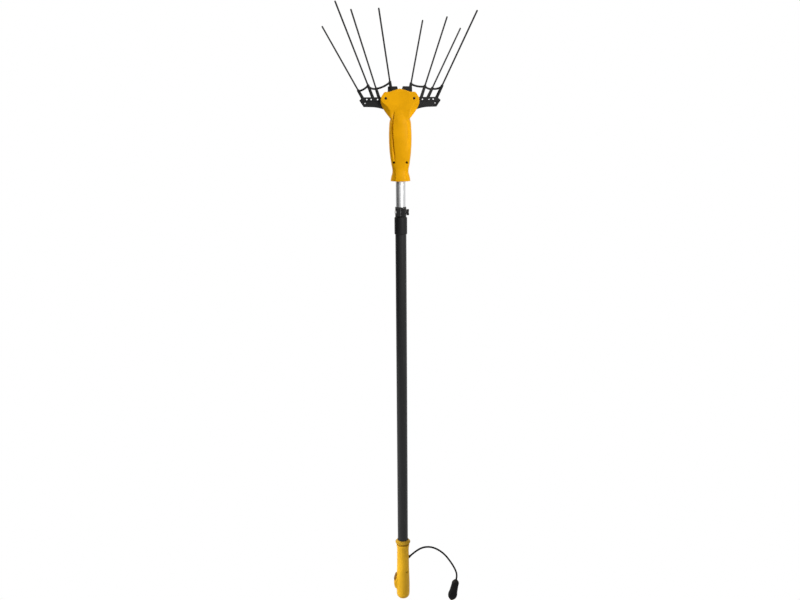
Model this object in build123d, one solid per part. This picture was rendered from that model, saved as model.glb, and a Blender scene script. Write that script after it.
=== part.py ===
from build123d import *
import os
from math import acos, cos, degrees, pi, radians, sin, tan

# Telescopic electric olive harvester. Millimetres, +Z up along the pole,
# X to the right and Y to the back; the origin is the middle of the hand grip.

# Driving dimensions: pole
outer_tube_od = 35.0
tube_wall = 1.5
guide_wall = 1.0
outer_tube_shown = 1058.0
inner_tube_shown = 80.0
pole_stroke = 830.0
tube_overlap = 150.0

# Driving dimensions: handle
grip_above = 70.6
grip_below = 138.0
grip_radius = 20.8
grip_swell = 2.1
collar_height = 17.8
collar_radius = 24.5
bump_reach = 30.0
bump_width = 25.0
switch_proud = 4.2
bump_lip = 0.4

# Driving dimensions: clamp
sleeve_height = 53.0
sleeve_wall = 2.5
clamp_height = 29.0
clamp_wall = 2.4

# Driving dimensions: head
tube_socket = 70.0
neck_radius = 34.0
fan_depth = 44.0
pivot_spacing = 85.0
roof_rise = 26.0
lobe_reach = 16.0
shell_wall = 3.0

# Driving dimensions: combs and rods
comb_thickness = 12.0
comb_reach = 123.0
comb_swing = 8.0
rod_diameter = 5.0
rod_socket = 26.0

# Driving dimensions: drive
motor_radius = 21.0
motor_length = 66.0
fork_arm = 36.0
gear_module = 0.75
sun_teeth = 12
planet_teeth = 18
planet_count = 3
sector_module = 2.5

# Driving dimensions: supply lead
cable_diameter = 6.0
plug_length = 79.0

# Fits and clearances
running_fit = 0.05
slide_gap = 0.5
free_gap = 0.3
gear_backlash = 0.12

# Levels along the pole
inner_tube_od = outer_tube_od - 2 * (tube_wall + guide_wall)
outer_tube_r = outer_tube_od / 2
inner_tube_r = inner_tube_od / 2
collar_top = grip_above + collar_height
sleeve_base = collar_top + outer_tube_shown
sleeve_top = sleeve_base + sleeve_height
clamp_step = 3.0
clamp_top = sleeve_top + clamp_step + clamp_height
head_base = clamp_top + inner_tube_shown
outer_tube_base = grip_above - 33.0
outer_tube_top = sleeve_top - 4.0
inner_tube_base = outer_tube_top - pole_stroke - tube_overlap
inner_tube_top = head_base + tube_socket

# Levels of the drive inside the head, from the tube up to the pivots
motor_base = inner_tube_top + 10.0
motor_top = motor_base + motor_length
case_floor = 3.0
planet_width = 11.0
planet_base = motor_top + case_floor + 2.0
planet_top = planet_base + planet_width
carrier_top = planet_top + 6.0
case_top = carrier_top + 1.0
bearing_height = 8.0
cover_top = case_top + bearing_height
upper_bearing = cover_top + 4.0
crank_disc = upper_bearing + bearing_height + 4.0
crank_disc_top = crank_disc + 6.0
roller_base = crank_disc_top + 4.0
roller_height = 14.0
roller_top = roller_base + roller_height
pin_top = roller_top + 1.0
pivot_z = (roller_base + roller_top) / 2 + fork_arm
head_top = pivot_z + roof_rise

# Widths shared by the head, the combs and the drive
pivot_x = pivot_spacing / 2
half_comb = comb_thickness / 2
slot_half = half_comb + slide_gap
half_fan = fan_depth / 2
ring_teeth = sun_teeth + 2 * planet_teeth
case_radius = motor_radius + 1.0
crank_radius = 12.0
crank_shaft_r = 5.0
crank_pin_r = 4.0
roller_r = 7.0
bearing_r = 13.0
crank_throw = fork_arm * tan(radians(comb_swing))


def span(radius, low, high, x=0.0, y=0.0):
    """Upright cylinder between two levels."""
    return Pos(x, y, (low + high) / 2) * Cylinder(radius, high - low)


def ring(outer, inner, low, high):
    """Upright tube between two levels."""
    return span(outer, low, high) - span(inner, low - 1, high + 1)


def rod_y(radius, front, back, x, z):
    """Cylinder along Y between two depths."""
    return Pos(x, (front + back) / 2, z) * Rot(90, 0, 0) * Cylinder(radius, back - front)


def rod_x(radius, left, right, y, z):
    """Cylinder along X between two places."""
    return Pos((left + right) / 2, y, z) * Rot(0, 90, 0) * Cylinder(radius, right - left)


def block(x0, x1, y0, y1, z0, z1):
    """Box between two corners."""
    return Pos((x0 + x1) / 2, (y0 + y1) / 2, (z0 + z1) / 2) * Box(x1 - x0, y1 - y0, z1 - z0)


def slab(sketch, front, back):
    """Sketch drawn as (X, Z), given a thickness in Y."""
    return extrude(Plane.XZ.offset(-back) * sketch, amount=back - front)


def outline(points):
    """Closed face through straight edges."""
    return make_face(Polyline(*points, close=True))


def turned(points):
    """Solid of revolution about Z of a closed (radius, z) outline."""
    return revolve(Plane.XZ * outline(points), axis=Axis.Z)


def between(start, end, radius, end_radius):
    """Round bar or cone from one point to another."""
    start, end = Vector(*start), Vector(*end)
    axis = end - start
    place = Plane(origin=start, z_dir=axis) * Pos(0, 0, axis.length / 2)
    if radius == end_radius:
        return place * Cylinder(radius, axis.length)
    return place * Cone(radius, end_radius, axis.length)


def save(name, shape):
    export_step(shape, "parts/" + name + ".step")


# Gears


def involute(angle):
    return tan(angle) - angle


def gear_face(module, teeth, addendum, dedendum, backlash, count=None, first=0.0):
    """Toothed face: involute flanks of three points a side, tip and root as flats.

    With a count, only that many teeth are drawn, from the angle first on, and
    the rest is left to the sector's own outline.
    """
    pitch_r = module * teeth / 2
    base_r = pitch_r * cos(radians(20))
    tip_r = pitch_r + addendum
    root_r = pitch_r - dedendum
    start_r = max(root_r, base_r)
    half = pi / (2 * teeth) - backlash / (2 * pitch_r) + involute(radians(20))
    flank = []
    for step in range(3):
        r = start_r + (tip_r - start_r) * step / 2
        flank.append((r, half - involute(acos(base_r / r))))
    points = []
    for tooth in range(count or teeth):
        middle = first + 2 * pi * tooth / teeth
        rise = [(root_r, flank[0][1])] + flank if root_r < start_r else flank
        for r, a in rise:
            points.append((r * cos(middle - a), r * sin(middle - a)))
        for r, a in reversed(rise):
            points.append((r * cos(middle + a), r * sin(middle + a)))
    return points


# Head


def neck_body():
    """Neck, turned: flared foot, waist over the tube, motor swell, then a dome into the fan."""
    radii = [
        (neck_radius - 5.2, head_base),
        (neck_radius - 5.8, head_base + 7),
        (neck_radius - 11.8, head_base + 31),
        (neck_radius - 7.8, head_base + 51),
        (neck_radius - 3.2, motor_base + 1),
        (neck_radius, motor_base + 42),
        (neck_radius, motor_top + 7),
        (neck_radius - 3.6, cover_top + 9),
        (neck_radius - 8.0, cover_top + 20),
        (neck_radius - 15.0, cover_top + 29),
        (neck_radius - 25.0, cover_top + 36),
        (0.001, cover_top + 39),
    ]
    curve = Spline(*radii)
    low = Line((0, head_base), radii[0])
    axis = Line((0, head_base), (0.001, radii[-1][1]))
    return revolve(Plane.XZ * make_face([curve, low, axis]), axis=Axis.Z)


# Fan, right half: places outward and above the pivot
roof_bend = (-6.5, 19.4)
lobe_top = (4.0, 19.2)
lobe_side = (lobe_reach - 1.0, 3.0)
lobe_low = (lobe_reach, -10.0)
fan_foot = (29.2, pivot_z - 56.0)
rim_chamfer = 3.0
flank_bevel = 10.5


def fan_spot(spot):
    return (pivot_x + spot[0], pivot_z + spot[1])


def fan_face():
    """Outline of the fan: low roof, two cornered lobes round the pivots, flanks down to the neck."""
    right = [fan_spot(spot) for spot in (roof_bend, lobe_top, lobe_side, lobe_low)] + [fan_foot]
    left = [(-x, z) for x, z in reversed(right)]
    face = outline([(0, head_top)] + right + left)
    corners = [corner for corner in face.vertices() if corner.Y > fan_foot[1] + 1]
    return fillet(corners, 4.0)


def fan_body():
    """Fan with chamfered rims and a bevel along each flank that widens towards the neck."""
    fan = slab(fan_face(), -half_fan, half_fan)
    rims = fan.faces().sort_by(Axis.Y)
    fan = chamfer(rims[0].edges() + rims[-1].edges(), rim_chamfer)
    top, foot = Vector(*fan_spot(lobe_low)), Vector(*fan_foot)
    flank = foot - top
    along = flank.normalized()
    for side in (-1, 1):
        for end in (-1, 1):
            start = Vector(side * top.X, end * half_fan, top.Y)
            down = Vector(side * along.X, 0, along.Y)
            inward = Vector(side * along.Y, 0, -along.X)
            out = down * (flank_bevel / flank.length) - inward + Vector(0, end, 0)
            fan = split(fan, bisect_by=Plane(origin=start, z_dir=out), keep=Keep.BOTTOM)
    return fan


def panel_face():
    """Outline of the raised panel down the front of the neck, from the fan to the foot."""
    right = [(8.0, pivot_z - 4), (11.0, pivot_z - 14), (14.8, pivot_z - 33), (19.8, pivot_z - 49),
             (24.0, motor_top + 34), (25.8, motor_top), (22.6, motor_base + 31), (17.2, motor_base - 3),
             (15.8, head_base + 59), (15.2, head_base + 30), (16.0, head_base - 1)]
    left = [(-x, z) for x, z in right]
    roof = Line(left[0], right[0])
    foot = Line(left[-1], right[-1])
    return make_face([Spline(*right), Spline(*left), roof, foot])


panel_crown = 28.0


def panel_body():
    """Front of the panel: flush with the fan at the top, full over the motor, turned about an axis
    behind the pole so that it is flatter than the neck."""
    swell = panel_crown + neck_radius
    radii = [
        (swell - 3.4, head_base), (swell - 4.6, head_base + 12), (swell - 8.6, head_base + 31),
        (swell - 5.6, head_base + 51), (swell - 1.4, motor_base + 1), (swell + 2.0, motor_base + 42),
        (swell + 2.2, motor_top - 3), (swell + 0.6, motor_top + 17), (swell - 2.8, cover_top + 6),
        (swell - 7.0, crank_disc_top + 4), (panel_crown + half_fan + 2.0, pivot_z - 26),
        (panel_crown + half_fan + 0.5, pivot_z - 14), (panel_crown + half_fan - 0.1, pivot_z - 2),
    ]
    curve = Spline(*radii)
    back = Polyline(radii[-1], (0, radii[-1][1]), (0, head_base), radii[0])
    form = revolve(Plane.XZ * make_face([curve, back]), axis=Axis.Z)
    return slab(panel_face(), -60, -5) & Pos(0, panel_crown, 0) * form


neck_screw_x = 19.5
neck_screw_z = head_base + 57.0
neck_screw_r = 2.0
neck_screw_head = 3.6
boss_r = 9.0
pin_r = 5.0
pin_half = half_fan - 5.0
pivot_screw_r = 2.0
pivot_head_r = 4.0
pivot_recess = 2.6
screw_head = 2.4
fan_floor = roller_base + 6.0
mouth_half = slot_half + 4.5
rib_height = 5.0


def head_cavity():
    """Hollow of the closed head: tube socket, ribs that grip the motor, gearbox and bearing seats."""
    room = neck_radius - shell_wall
    socket = turned([
        (0, head_base - 1), (inner_tube_r, head_base - 1), (inner_tube_r, inner_tube_top),
        (room - 6, inner_tube_top + 6), (room - 4, motor_base + 12),
        (motor_radius, motor_base + 12), (motor_radius, motor_base + 12 + rib_height),
        (room - 1, motor_base + 18 + rib_height), (room - 1, motor_top - 14),
        (motor_radius, motor_top - 14), (motor_radius, motor_top - 14 + rib_height),
        (room - 3, motor_top - 8), (room - 4, motor_top),
        (case_radius, motor_top), (case_radius, cover_top),
        (bearing_r, cover_top), (bearing_r, upper_bearing + bearing_height),
        (crank_radius + 2, upper_bearing + bearing_height), (crank_radius + 2, fan_floor + 1),
        (0, fan_floor + 1),
    ])
    fan = offset(fan_face(), amount=-shell_wall)
    hollow = slab(fan, -half_fan + shell_wall, half_fan - shell_wall)
    floor = block(-100, 100, -100, 100, crank_disc - 1, head_top)
    return socket + (hollow & floor)


def head_shells():
    """Front and rear halves of the head, parted on Y = 0, open round the combs."""
    outer = neck_body() + fan_body() + panel_body()
    slot = block(-90, 90, -slot_half, slot_half, fan_floor, head_top + 20)
    low, high = pivot_z + 12, head_top + 4
    mouth = [(-slot_half, low), (slot_half, low), (mouth_half, high), (-mouth_half, high)]
    slot += extrude(Plane.YZ * outline(mouth), amount=90, both=True)
    hollow = head_cavity()
    inside = half_fan - 0.1
    bosses = [rod_y(boss_r, -inside, inside, side * pivot_x, pivot_z) for side in (-1, 1)]
    outer = outer - hollow + bosses - slot
    for side in (-1, 1):
        x = side * pivot_x
        outer -= rod_y(pin_r, -pin_half, pin_half, x, pivot_z)
        outer -= rod_y(pivot_screw_r, -60, 60, x, pivot_z)
        outer -= rod_y(pivot_head_r, -60, -half_fan + pivot_recess, x, pivot_z)
        outer -= rod_y(pivot_head_r, half_fan - pivot_recess, 60, x, pivot_z)
        outer -= rod_y(neck_screw_r, -60, 12, side * neck_screw_x, neck_screw_z)
        outer -= rod_y(neck_screw_head, -60, -13, side * neck_screw_x, neck_screw_z)
    front = outer & block(-200, 200, -200, 0, head_base - 5, head_top + 5)
    rear = outer & block(-200, 200, 0, 200, head_base - 5, head_top + 5)
    return front, rear


def pan_screw(shank_r, head_r, x, z, head_face, tip):
    """Screw along Y: domed head at the front end, shank to the tip."""
    way = 1 if tip > head_face else -1
    head_back = head_face + way * screw_head
    ends = sorted((head_face, head_back))
    shank = sorted((head_back, tip))
    return rod_y(head_r, ends[0], ends[1], x, z) + rod_y(shank_r, shank[0], shank[1], x, z)


def head_screws():
    screws = [pan_screw(neck_screw_r, neck_screw_head - 0.3, side * neck_screw_x, neck_screw_z,
                        -13.0 - screw_head, 11.5)
              for side in (-1, 1)]
    return Compound(children=screws)


def pivot_screws():
    face = half_fan - pivot_recess + screw_head
    tip = half_fan - 12.0
    screws = []
    for side in (-1, 1):
        for end in (-1, 1):
            screws.append(pan_screw(pivot_screw_r, pivot_head_r - 0.4, side * pivot_x, pivot_z,
                                    end * face, end * tip))
    return Compound(children=screws)


def pivot_pin(side):
    x = side * pivot_x
    pin = rod_y(pin_r, -pin_half, pin_half, x, pivot_z)
    for end in (-1, 1):
        depth = sorted((end * (pin_half + 1), end * (half_fan - 12.0)))
        pin -= rod_y(pivot_screw_r, depth[0], depth[1], x, pivot_z)
    return pin


bush_r = 8.0


def pivot_bush(side):
    x = side * pivot_x
    body = rod_y(bush_r, -half_comb, half_comb, x, pivot_z)
    return body - rod_y(pin_r + running_fit, -half_comb - 1, half_comb + 1, x, pivot_z)


# Rods, from the outer one to the inner one: place of the strut's tip outward and
# above the pivot, sideways angle, lean to the back and free length. The right
# comb is the left one turned about, so its leans are reversed.
left_rods = [
    (127.0, 26.5, 29.7, 18.7, 232.0),
    (96.1, 39.8, 21.0, -23.8, 255.0),
    (72.4, 31.6, 17.4, -16.0, 232.0),
    (30.1, 49.7, 8.4, -23.4, 213.0),
]
right_rods = [
    (127.2, 37.9, 25.3, -19.5, 232.0),
    (99.1, 32.8, 26.4, 34.8, 250.0),
    (76.3, 39.2, 18.7, 19.6, 232.0),
    (34.0, 46.3, 11.1, 23.4, 213.0),
]
strut_root = 1.0
inner_root = 20.0
strut_tip_r = 4.3
strut_root_r = 4.9
strap_r = 3.0
strap_sag = 3.4
hub_r = 15.0
rod_r = rod_diameter / 2


def rod_line(side, rod):
    """Strut root, strut tip and rod tip of one rod."""
    out, rise, splay, lean, free = rod
    root_rise = inner_root if out < pivot_x else strut_root
    way = Vector(side * tan(radians(splay)), tan(radians(lean)), 1)
    tip = Vector(side * out, way.Y * (rise - root_rise), pivot_z + rise)
    root = tip - way * (rise - root_rise)
    end = tip + way.normalized() * free
    return root, tip, end


def comb_plate(side, teeth, first):
    """Comb plate: hub, bar to the outer rods, arm to the inner rod and toothed sector."""

    def spot(x, z):
        return (side * x, pivot_z + z)

    lower = ThreePointArc(spot(86, -24.2), spot(68, -26.2), spot(50, -31))
    edge = Polyline(spot(50, -31), spot(34, -13), spot(36, 13), spot(50, 4.5), spot(113, 4.5),
                    spot(comb_reach, -5), spot(110.5, -23.6), spot(86, -24.2))
    bar = make_face([lower, edge])
    arm = outline([spot(42, 12), spot(37.0, 19.5), spot(36.5, 35.5), spot(8.4, 36), spot(5.7, 27.5),
                   spot(7.5, 15), spot(6, 12), spot(6, -12), spot(36, -14)])
    rim = gear_face(sector_module, round(pivot_spacing / sector_module), 0.9 * sector_module,
                    1.2 * sector_module, 2 * gear_backlash, teeth, first)
    sector = outline([spot(pivot_x, 0)] + [spot(pivot_x - x, z) for x, z in rim])
    hub = Pos(*spot(pivot_x, 0)) * Circle(hub_r)
    return slab(bar + arm + sector + hub, -half_comb, half_comb)


def comb(side, rods, teeth, first):
    """One comb moulding with its four struts and the strap that ties their tips."""

    def spot(x, z):
        return (side * x, pivot_z + z)

    body = comb_plate(side, teeth, first)
    pocket = outline([spot(63, -7), spot(63, -23.2), spot(84, -20.4), spot(108.5, -19.8),
                      spot(115.5, -8.5), spot(105, -7)])
    pocket_depth = 2.6
    body -= slab(pocket, -half_comb - 1, -half_comb + pocket_depth)
    body -= slab(pocket, half_comb - pocket_depth, half_comb + 1)
    for x in (67.7, 87.0, 100.3):
        body -= rod_y(2.3, -half_comb - 1, half_comb + 1, *spot(x, -1.8))
    body -= rod_y(1.6, -half_comb - 1, half_comb + 1, *spot(106.0, -13.0))
    body -= rod_y(bush_r, -half_comb - 1, half_comb + 1, *spot(pivot_x, 0))
    lines = [rod_line(side, rod) for rod in rods]
    for root, tip, end in lines:
        body += between(root, tip, strut_root_r, strut_tip_r)
    for near, far in zip(lines, lines[1:]):
        start = near[1] - Vector(0, 0, strap_r)
        stop = far[1] - Vector(0, 0, strap_r)
        middle = (start + stop) * 0.5 - Vector(0, 0, strap_sag)
        path = ThreePointArc(start, middle, stop)
        body += sweep(Plane(origin=start, z_dir=path % 0) * Circle(strap_r), path=path)
    for root, tip, end in lines:
        way = (end - tip).normalized()
        body -= between(tip - way * rod_socket, tip + way * 8, rod_r, rod_r)
    return body


def tine(side, rod):
    """Carbon rod, from the floor of its socket to its rounded end, turned about its own axis."""
    root, tip, end = rod_line(side, rod)
    way = (end - tip).normalized()
    long = rod[-1] + rod_socket
    bend = rod_r * sin(pi / 4)
    nose = ThreePointArc((rod_r, long - rod_r), (bend, long - rod_r + bend), (0, long))
    edge = Polyline((0, long), (0, 0), (rod_r, 0), (rod_r, long - rod_r))
    stem = revolve(Plane.XZ * make_face([nose, edge]), axis=Axis.Z)
    return Plane(origin=tip - way * rod_socket, z_dir=way) * stem


# Drive fork on the left comb
fork_gap = roller_r + 1.15 * crank_throw + 0.6
fork_prong = 5.0
fork_low = roller_base + 6.0
fork_bridge = pin_top + 10.0
fork_plate = 4.0
fork_front = -half_comb - slide_gap - fork_plate
fork_screw_r = 1.5
fork_screw_spots = [(-23.0, 3.5), (-16.0, 3.5)]


def drive_fork():
    """Steel fork that straddles the crank roller; a pad screws to the left comb's web."""
    wide = fork_gap + fork_prong
    top = pivot_z - 8.0
    plate = outline([
        (-29, pivot_z + 8), (-11, pivot_z + 8), (-6, top), (wide, top), (wide, fork_low),
        (fork_gap, fork_low), (fork_gap, fork_bridge), (-fork_gap, fork_bridge),
        (-fork_gap, fork_low), (-wide, fork_low), (-wide, fork_bridge), (-29, pivot_z - 6),
    ])
    back = -half_comb - slide_gap
    body = slab(plate, fork_front, back)
    pad = outline([(-29, pivot_z + 8), (-11, pivot_z + 8), (-11, pivot_z - 6), (-29, pivot_z - 6)])
    body += slab(pad, back, -half_comb)
    prong_top = roller_top + 6.0
    for side in (-1, 1):
        x = sorted((side * fork_gap, side * wide))
        body += block(x[0], x[1], fork_front, roller_r + 2, fork_low, prong_top)
    for x, z in fork_screw_spots:
        body -= rod_y(fork_screw_r, -40, 0, x, pivot_z + z)
    return body


def fork_screws():
    head_face = fork_front - screw_head
    screws = []
    for x, z in fork_screw_spots:
        screws.append(pan_screw(fork_screw_r, 2.8, x, pivot_z + z, head_face, half_comb - 2))
    return Compound(children=screws)


# Crank and gears


def crankshaft():
    """Shaft, disc and crank pin in one turned piece; the pin stands to the back at rest."""
    shaft = span(crank_shaft_r, planet_top + 0.5, crank_disc)
    disc = span(crank_radius, crank_disc, crank_disc_top)
    pin = span(crank_pin_r, crank_disc_top, pin_top, y=crank_throw)
    return shaft + disc + pin


def crank_roller():
    body = span(roller_r, roller_base, roller_top, y=crank_throw)
    return body - span(crank_pin_r, roller_base - 1, roller_top + 1, y=crank_throw)


def ball_bearing(low):
    """Ball bearing as one ring with the groove between its races."""
    high = low + bearing_height
    body = ring(bearing_r, crank_shaft_r + running_fit, low, high)
    groove = ring(bearing_r - 2.2, crank_shaft_r + 2.4, high - 0.8, high + 1)
    groove += ring(bearing_r - 2.2, crank_shaft_r + 2.4, low - 1, low + 0.8)
    return body - groove


planet_orbit = gear_module * (sun_teeth + planet_teeth) / 2
planet_pin_r = 2.0
stub = 0.8 * gear_module
root_depth = 1.1 * gear_module


def planet_spot(index):
    angle = 2 * pi * index / planet_count
    return angle, planet_orbit * cos(angle), planet_orbit * sin(angle)


def planet_carrier():
    """Disc with three planet pins, pressed on the crankshaft."""
    body = span(planet_orbit + 4.5, planet_top + 0.5, carrier_top)
    body -= span(crank_shaft_r, planet_top, carrier_top + 1)
    for index in range(planet_count):
        angle, x, y = planet_spot(index)
        body += span(planet_pin_r, planet_base - 0.5, planet_top + 1, x, y)
    return body


def spur_gear(teeth, low, high, bore, turn):
    face = outline(gear_face(gear_module, teeth, stub, root_depth, gear_backlash, None, turn))
    return Pos(0, 0, low) * extrude(face, amount=high - low) - span(bore, low - 1, high + 1)


def planet_gear(index):
    """Planet turned so that a gap of it faces the sun's tooth."""
    angle, x, y = planet_spot(index)
    turn = angle + pi - 2 * pi / planet_teeth * (0.5 - angle * sun_teeth / (2 * pi))
    return Pos(x, y, 0) * spur_gear(planet_teeth, planet_base, planet_top, planet_pin_r + running_fit, turn)


shaft_r = 2.5


def sun_gear():
    return spur_gear(sun_teeth, planet_base, planet_top, shaft_r, 0.0)


def gearbox_case():
    """Case with the fixed ring gear cut in its wall and a floor on the motor."""
    body = span(case_radius, motor_top, case_top)
    body -= span(6.0, motor_top - 1, case_top + 1)
    teeth = gear_face(gear_module, ring_teeth, root_depth, stub, -gear_backlash, None, pi / ring_teeth)
    body -= Pos(0, 0, motor_top + case_floor) * extrude(outline(teeth), amount=case_top)
    return body


def gearbox_cover():
    body = span(case_radius, case_top, cover_top)
    return body - span(bearing_r, case_top - 1, cover_top + 1)


def crank_bearings():
    return Compound(children=[ball_bearing(case_top), ball_bearing(upper_bearing)])


# Motor
can_wall = 1.5
cap_height = 7.0
can_base = motor_base + cap_height
air_gap = 0.6
magnet_wall = 3.2
magnet_inner = motor_radius - can_wall - magnet_wall
rotor_r = magnet_inner - air_gap
stack_base = can_base + 13.0
stack_top = motor_top - 14.0
commutator_r = 5.5


def motor_can():
    body = ring(motor_radius, motor_radius - can_wall, can_base, motor_top - can_wall)
    lid = ring(motor_radius, shaft_r + 1.0, motor_top - can_wall, motor_top)
    return body + lid


def motor_magnets():
    arcs = ring(motor_radius - can_wall, magnet_inner, stack_base - 2, stack_top + 2)
    gap = block(-4.0, 4.0, -40, 40, can_base, motor_top)
    return arcs - gap


def motor_rotor():
    """Slotted stack of the rotor."""
    body = ring(rotor_r, shaft_r, stack_base, stack_top)
    slots = 5
    for index in range(slots):
        angle = 2 * pi * index / slots
        mid = 0.62 * rotor_r
        body -= span(0.2 * rotor_r, stack_base - 1, stack_top + 1, mid * cos(angle), mid * sin(angle))
        body -= Rot(0, 0, degrees(angle)) * block(mid, rotor_r + 1, -0.9, 0.9, stack_base - 1, stack_top + 1)
    return body


def motor_shaft():
    return span(shaft_r, motor_base + 1.5, planet_top)


def motor_commutator():
    return ring(commutator_r, shaft_r, can_base + 1.0, stack_base - 2.0)


def motor_end_cap():
    """Plastic end cap with the rear bush and two brush holders."""
    body = ring(motor_radius, shaft_r + running_fit, motor_base, can_base)
    body -= ring(motor_radius - 4, 8.0, motor_base - 1, motor_base + 2.5)
    for side in (-1, 1):
        x = sorted((side * 7.5, side * 15.0))
        body += block(x[0], x[1], -4.5, 4.5, can_base, can_base + 9)
        body -= block(x[0] - 1, x[1] + 1, -2.5, 2.5, can_base + 2, can_base + 7)
    return body


def motor_brushes():
    brushes = []
    for side in (-1, 1):
        x = sorted((side * (commutator_r + running_fit), side * 14.0))
        brushes.append(block(x[0], x[1], -2.5, 2.5, can_base + 2, can_base + 7))
    return Compound(children=brushes)


# Pole


def outer_tube():
    return ring(outer_tube_r, outer_tube_r - tube_wall, outer_tube_base, outer_tube_top)


def inner_tube():
    return ring(inner_tube_r, inner_tube_r - tube_wall, inner_tube_base, inner_tube_top)


def inner_tube_guide():
    """Plastic guide pressed on the lower end of the inner tube."""
    return ring(outer_tube_r - tube_wall - running_fit, inner_tube_r, inner_tube_base, inner_tube_base + 45)


lead_r = 5.0
lead_base = outer_tube_base - 15.0
lead_top = motor_base - free_gap


def pole_lead():
    return span(lead_r, lead_base, lead_top)


# Clamp
clamp_base = sleeve_top + clamp_step
clamp_r = inner_tube_r + clamp_wall
sleeve_r = outer_tube_r + sleeve_wall
ear_half = 15.0
clamp_slit = 0.5
ear_front = -28.0
ear_low = clamp_base + 2.5
ear_high = clamp_top - 2.0
bolt_y = -22.0
bolt_z = (ear_low + ear_high) / 2
bolt_r = 3.0
knob_start = ear_half + 2.6
knob_width = 8.0
wing_reach = 9.6


def clamp_body():
    """Sleeve on the outer tube and, above it, the split collar with its ears."""
    sleeve = span(sleeve_r, sleeve_base, sleeve_top)
    sleeve = fillet(sleeve.edges().filter_by(GeomType.CIRCLE), 2.0)
    neck = span(clamp_r, sleeve_top - 1, clamp_top)
    ears = block(-ear_half, ear_half, ear_front, 0, ear_low, ear_high)
    ears = fillet(ears.edges().filter_by(Axis.Z).group_by(Axis.Y)[0], 4.0)
    body = sleeve + neck + ears
    body -= span(outer_tube_r, sleeve_base - 1, outer_tube_top)
    body -= span(inner_tube_r + running_fit, outer_tube_top - 1, clamp_top + 1)
    body -= block(-clamp_slit, clamp_slit, ear_front - 1, 0, ear_low - 1, clamp_top + 1)
    body -= rod_x(bolt_r + free_gap, -40, 40, bolt_y, bolt_z)
    return body - nut_prism(10)


def nut_prism(height):
    """Hexagon of the clamp nut, from its seat in the left ear outwards."""
    seat = Pos(-ear_half + 2, bolt_y, bolt_z) * Rot(0, 90, 0)
    return seat * extrude(RegularPolygon(5.8, 6), amount=-height)


def clamp_nut():
    return nut_prism(5) - rod_x(bolt_r + running_fit, -40, 40, bolt_y, bolt_z)


def clamp_bolt():
    return rod_x(bolt_r, -ear_half - 4, knob_start + 5, bolt_y, bolt_z)


def clamp_knob():
    """Two-winged knob on the end of the clamp bolt."""
    end = knob_start + knob_width
    body = rod_x(5.5, ear_half + free_gap, end - 1, bolt_y, bolt_z)
    for side in (-1, 1):
        lobe = rod_x(4.2, knob_start, end, bolt_y, bolt_z + side * (wing_reach - 4.2))
        body += fillet(lobe.edges(), 1.2)
    return body - rod_x(bolt_r, -40, knob_start + 5, bolt_y, bolt_z)


# Handle
switch_top = (-bump_reach + 6.0, -48.5)
switch_low = (-bump_reach + 0.2, -68.0)
switch_mid = ((switch_top[0] + switch_low[0]) / 2, 0, (switch_top[1] + switch_low[1]) / 2)
switch_down = Vector(switch_low[0] - switch_top[0], 0, switch_low[1] - switch_top[1]).normalized()
switch_out = Vector(switch_down.Z, 0, -switch_down.X)
switch_plane = Plane(origin=switch_mid, x_dir=switch_down, z_dir=switch_out)
switch_half = 10.0
switch_wide = 7.0
grip_wall = 2.8
handle_screw_spots = [(-15.0, -34.0), (15.0, -34.0), (0.0, -124.0)]
handle_screw_r = 1.6
handle_seat = 8.0
gland_mid = Vector(21.0, 0, 16.0)
gland_way = Vector(0.735, 0, 0.678)
gland_in = gland_mid - gland_way * 7
gland_out = gland_mid + gland_way * 10
gland_r = 4.4


def grip_form():
    """Turned grip: a slight waist, a swell to the lower end and a rounded foot."""
    low = -grip_below
    swell = grip_radius + grip_swell
    radii = [(grip_radius + 2.0, grip_above), (grip_radius + 1.2, grip_above - 8),
             (grip_radius - 0.3, grip_above - 20), (grip_radius - 0.2, 30), (grip_radius + 0.1, -5),
             (grip_radius + 1.0, -45), (swell, -100), (swell - 0.3, low + 15)]
    side = Spline(*radii)
    foot = ThreePointArc(radii[-1], (swell - 4.5, low + 3.6), (swell - 12, low))
    base = Line((swell - 12, low), (0, low))
    axis = Line((0, low), (0, grip_above))
    top = Line((0, grip_above), radii[0])
    return revolve(Plane.XZ * make_face([side, foot, base, axis, top]), axis=Axis.Z)


def grip_hollow():
    room = grip_radius - grip_wall
    low = -grip_below + grip_wall
    return turned([
        (0, low), (room - 4, low), (room, low + 9), (room, outer_tube_base - 8),
        (outer_tube_r - 2.5, outer_tube_base - 5), (outer_tube_r - 2.5, outer_tube_base),
        (outer_tube_r, outer_tube_base), (outer_tube_r, grip_above + 1), (0, grip_above + 1),
    ])


def bump_form():
    """Raised housing on the left of the grip, with a notch across it that seats the switch."""
    ends = [Vector(x, 0, z) for x, z in (switch_top, switch_low)]
    upper, lower = ends[0] - switch_down * bump_lip, ends[1] + switch_down * bump_lip
    seats = [upper - switch_out * switch_proud, lower - switch_out * switch_proud]
    profile = outline([
        (-12, upper.Z + 8.5), (-20.8, upper.Z + 7.5), (upper.X, upper.Z), (seats[0].X, seats[0].Z),
        (seats[1].X, seats[1].Z), (lower.X, lower.Z), (-bump_reach - 0.5, -74), (-bump_reach - 0.2, -79),
        (-bump_reach + 0.8, -84), (-bump_reach + 2.8, -93.5), (-bump_reach + 7.0, -101.5), (-12, -106),
    ])
    body = slab(profile, -bump_width / 2, bump_width / 2)
    sides = body.faces().sort_by(Axis.Y)
    return chamfer(sides[0].edges() + sides[-1].edges(), 1.4)


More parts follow.
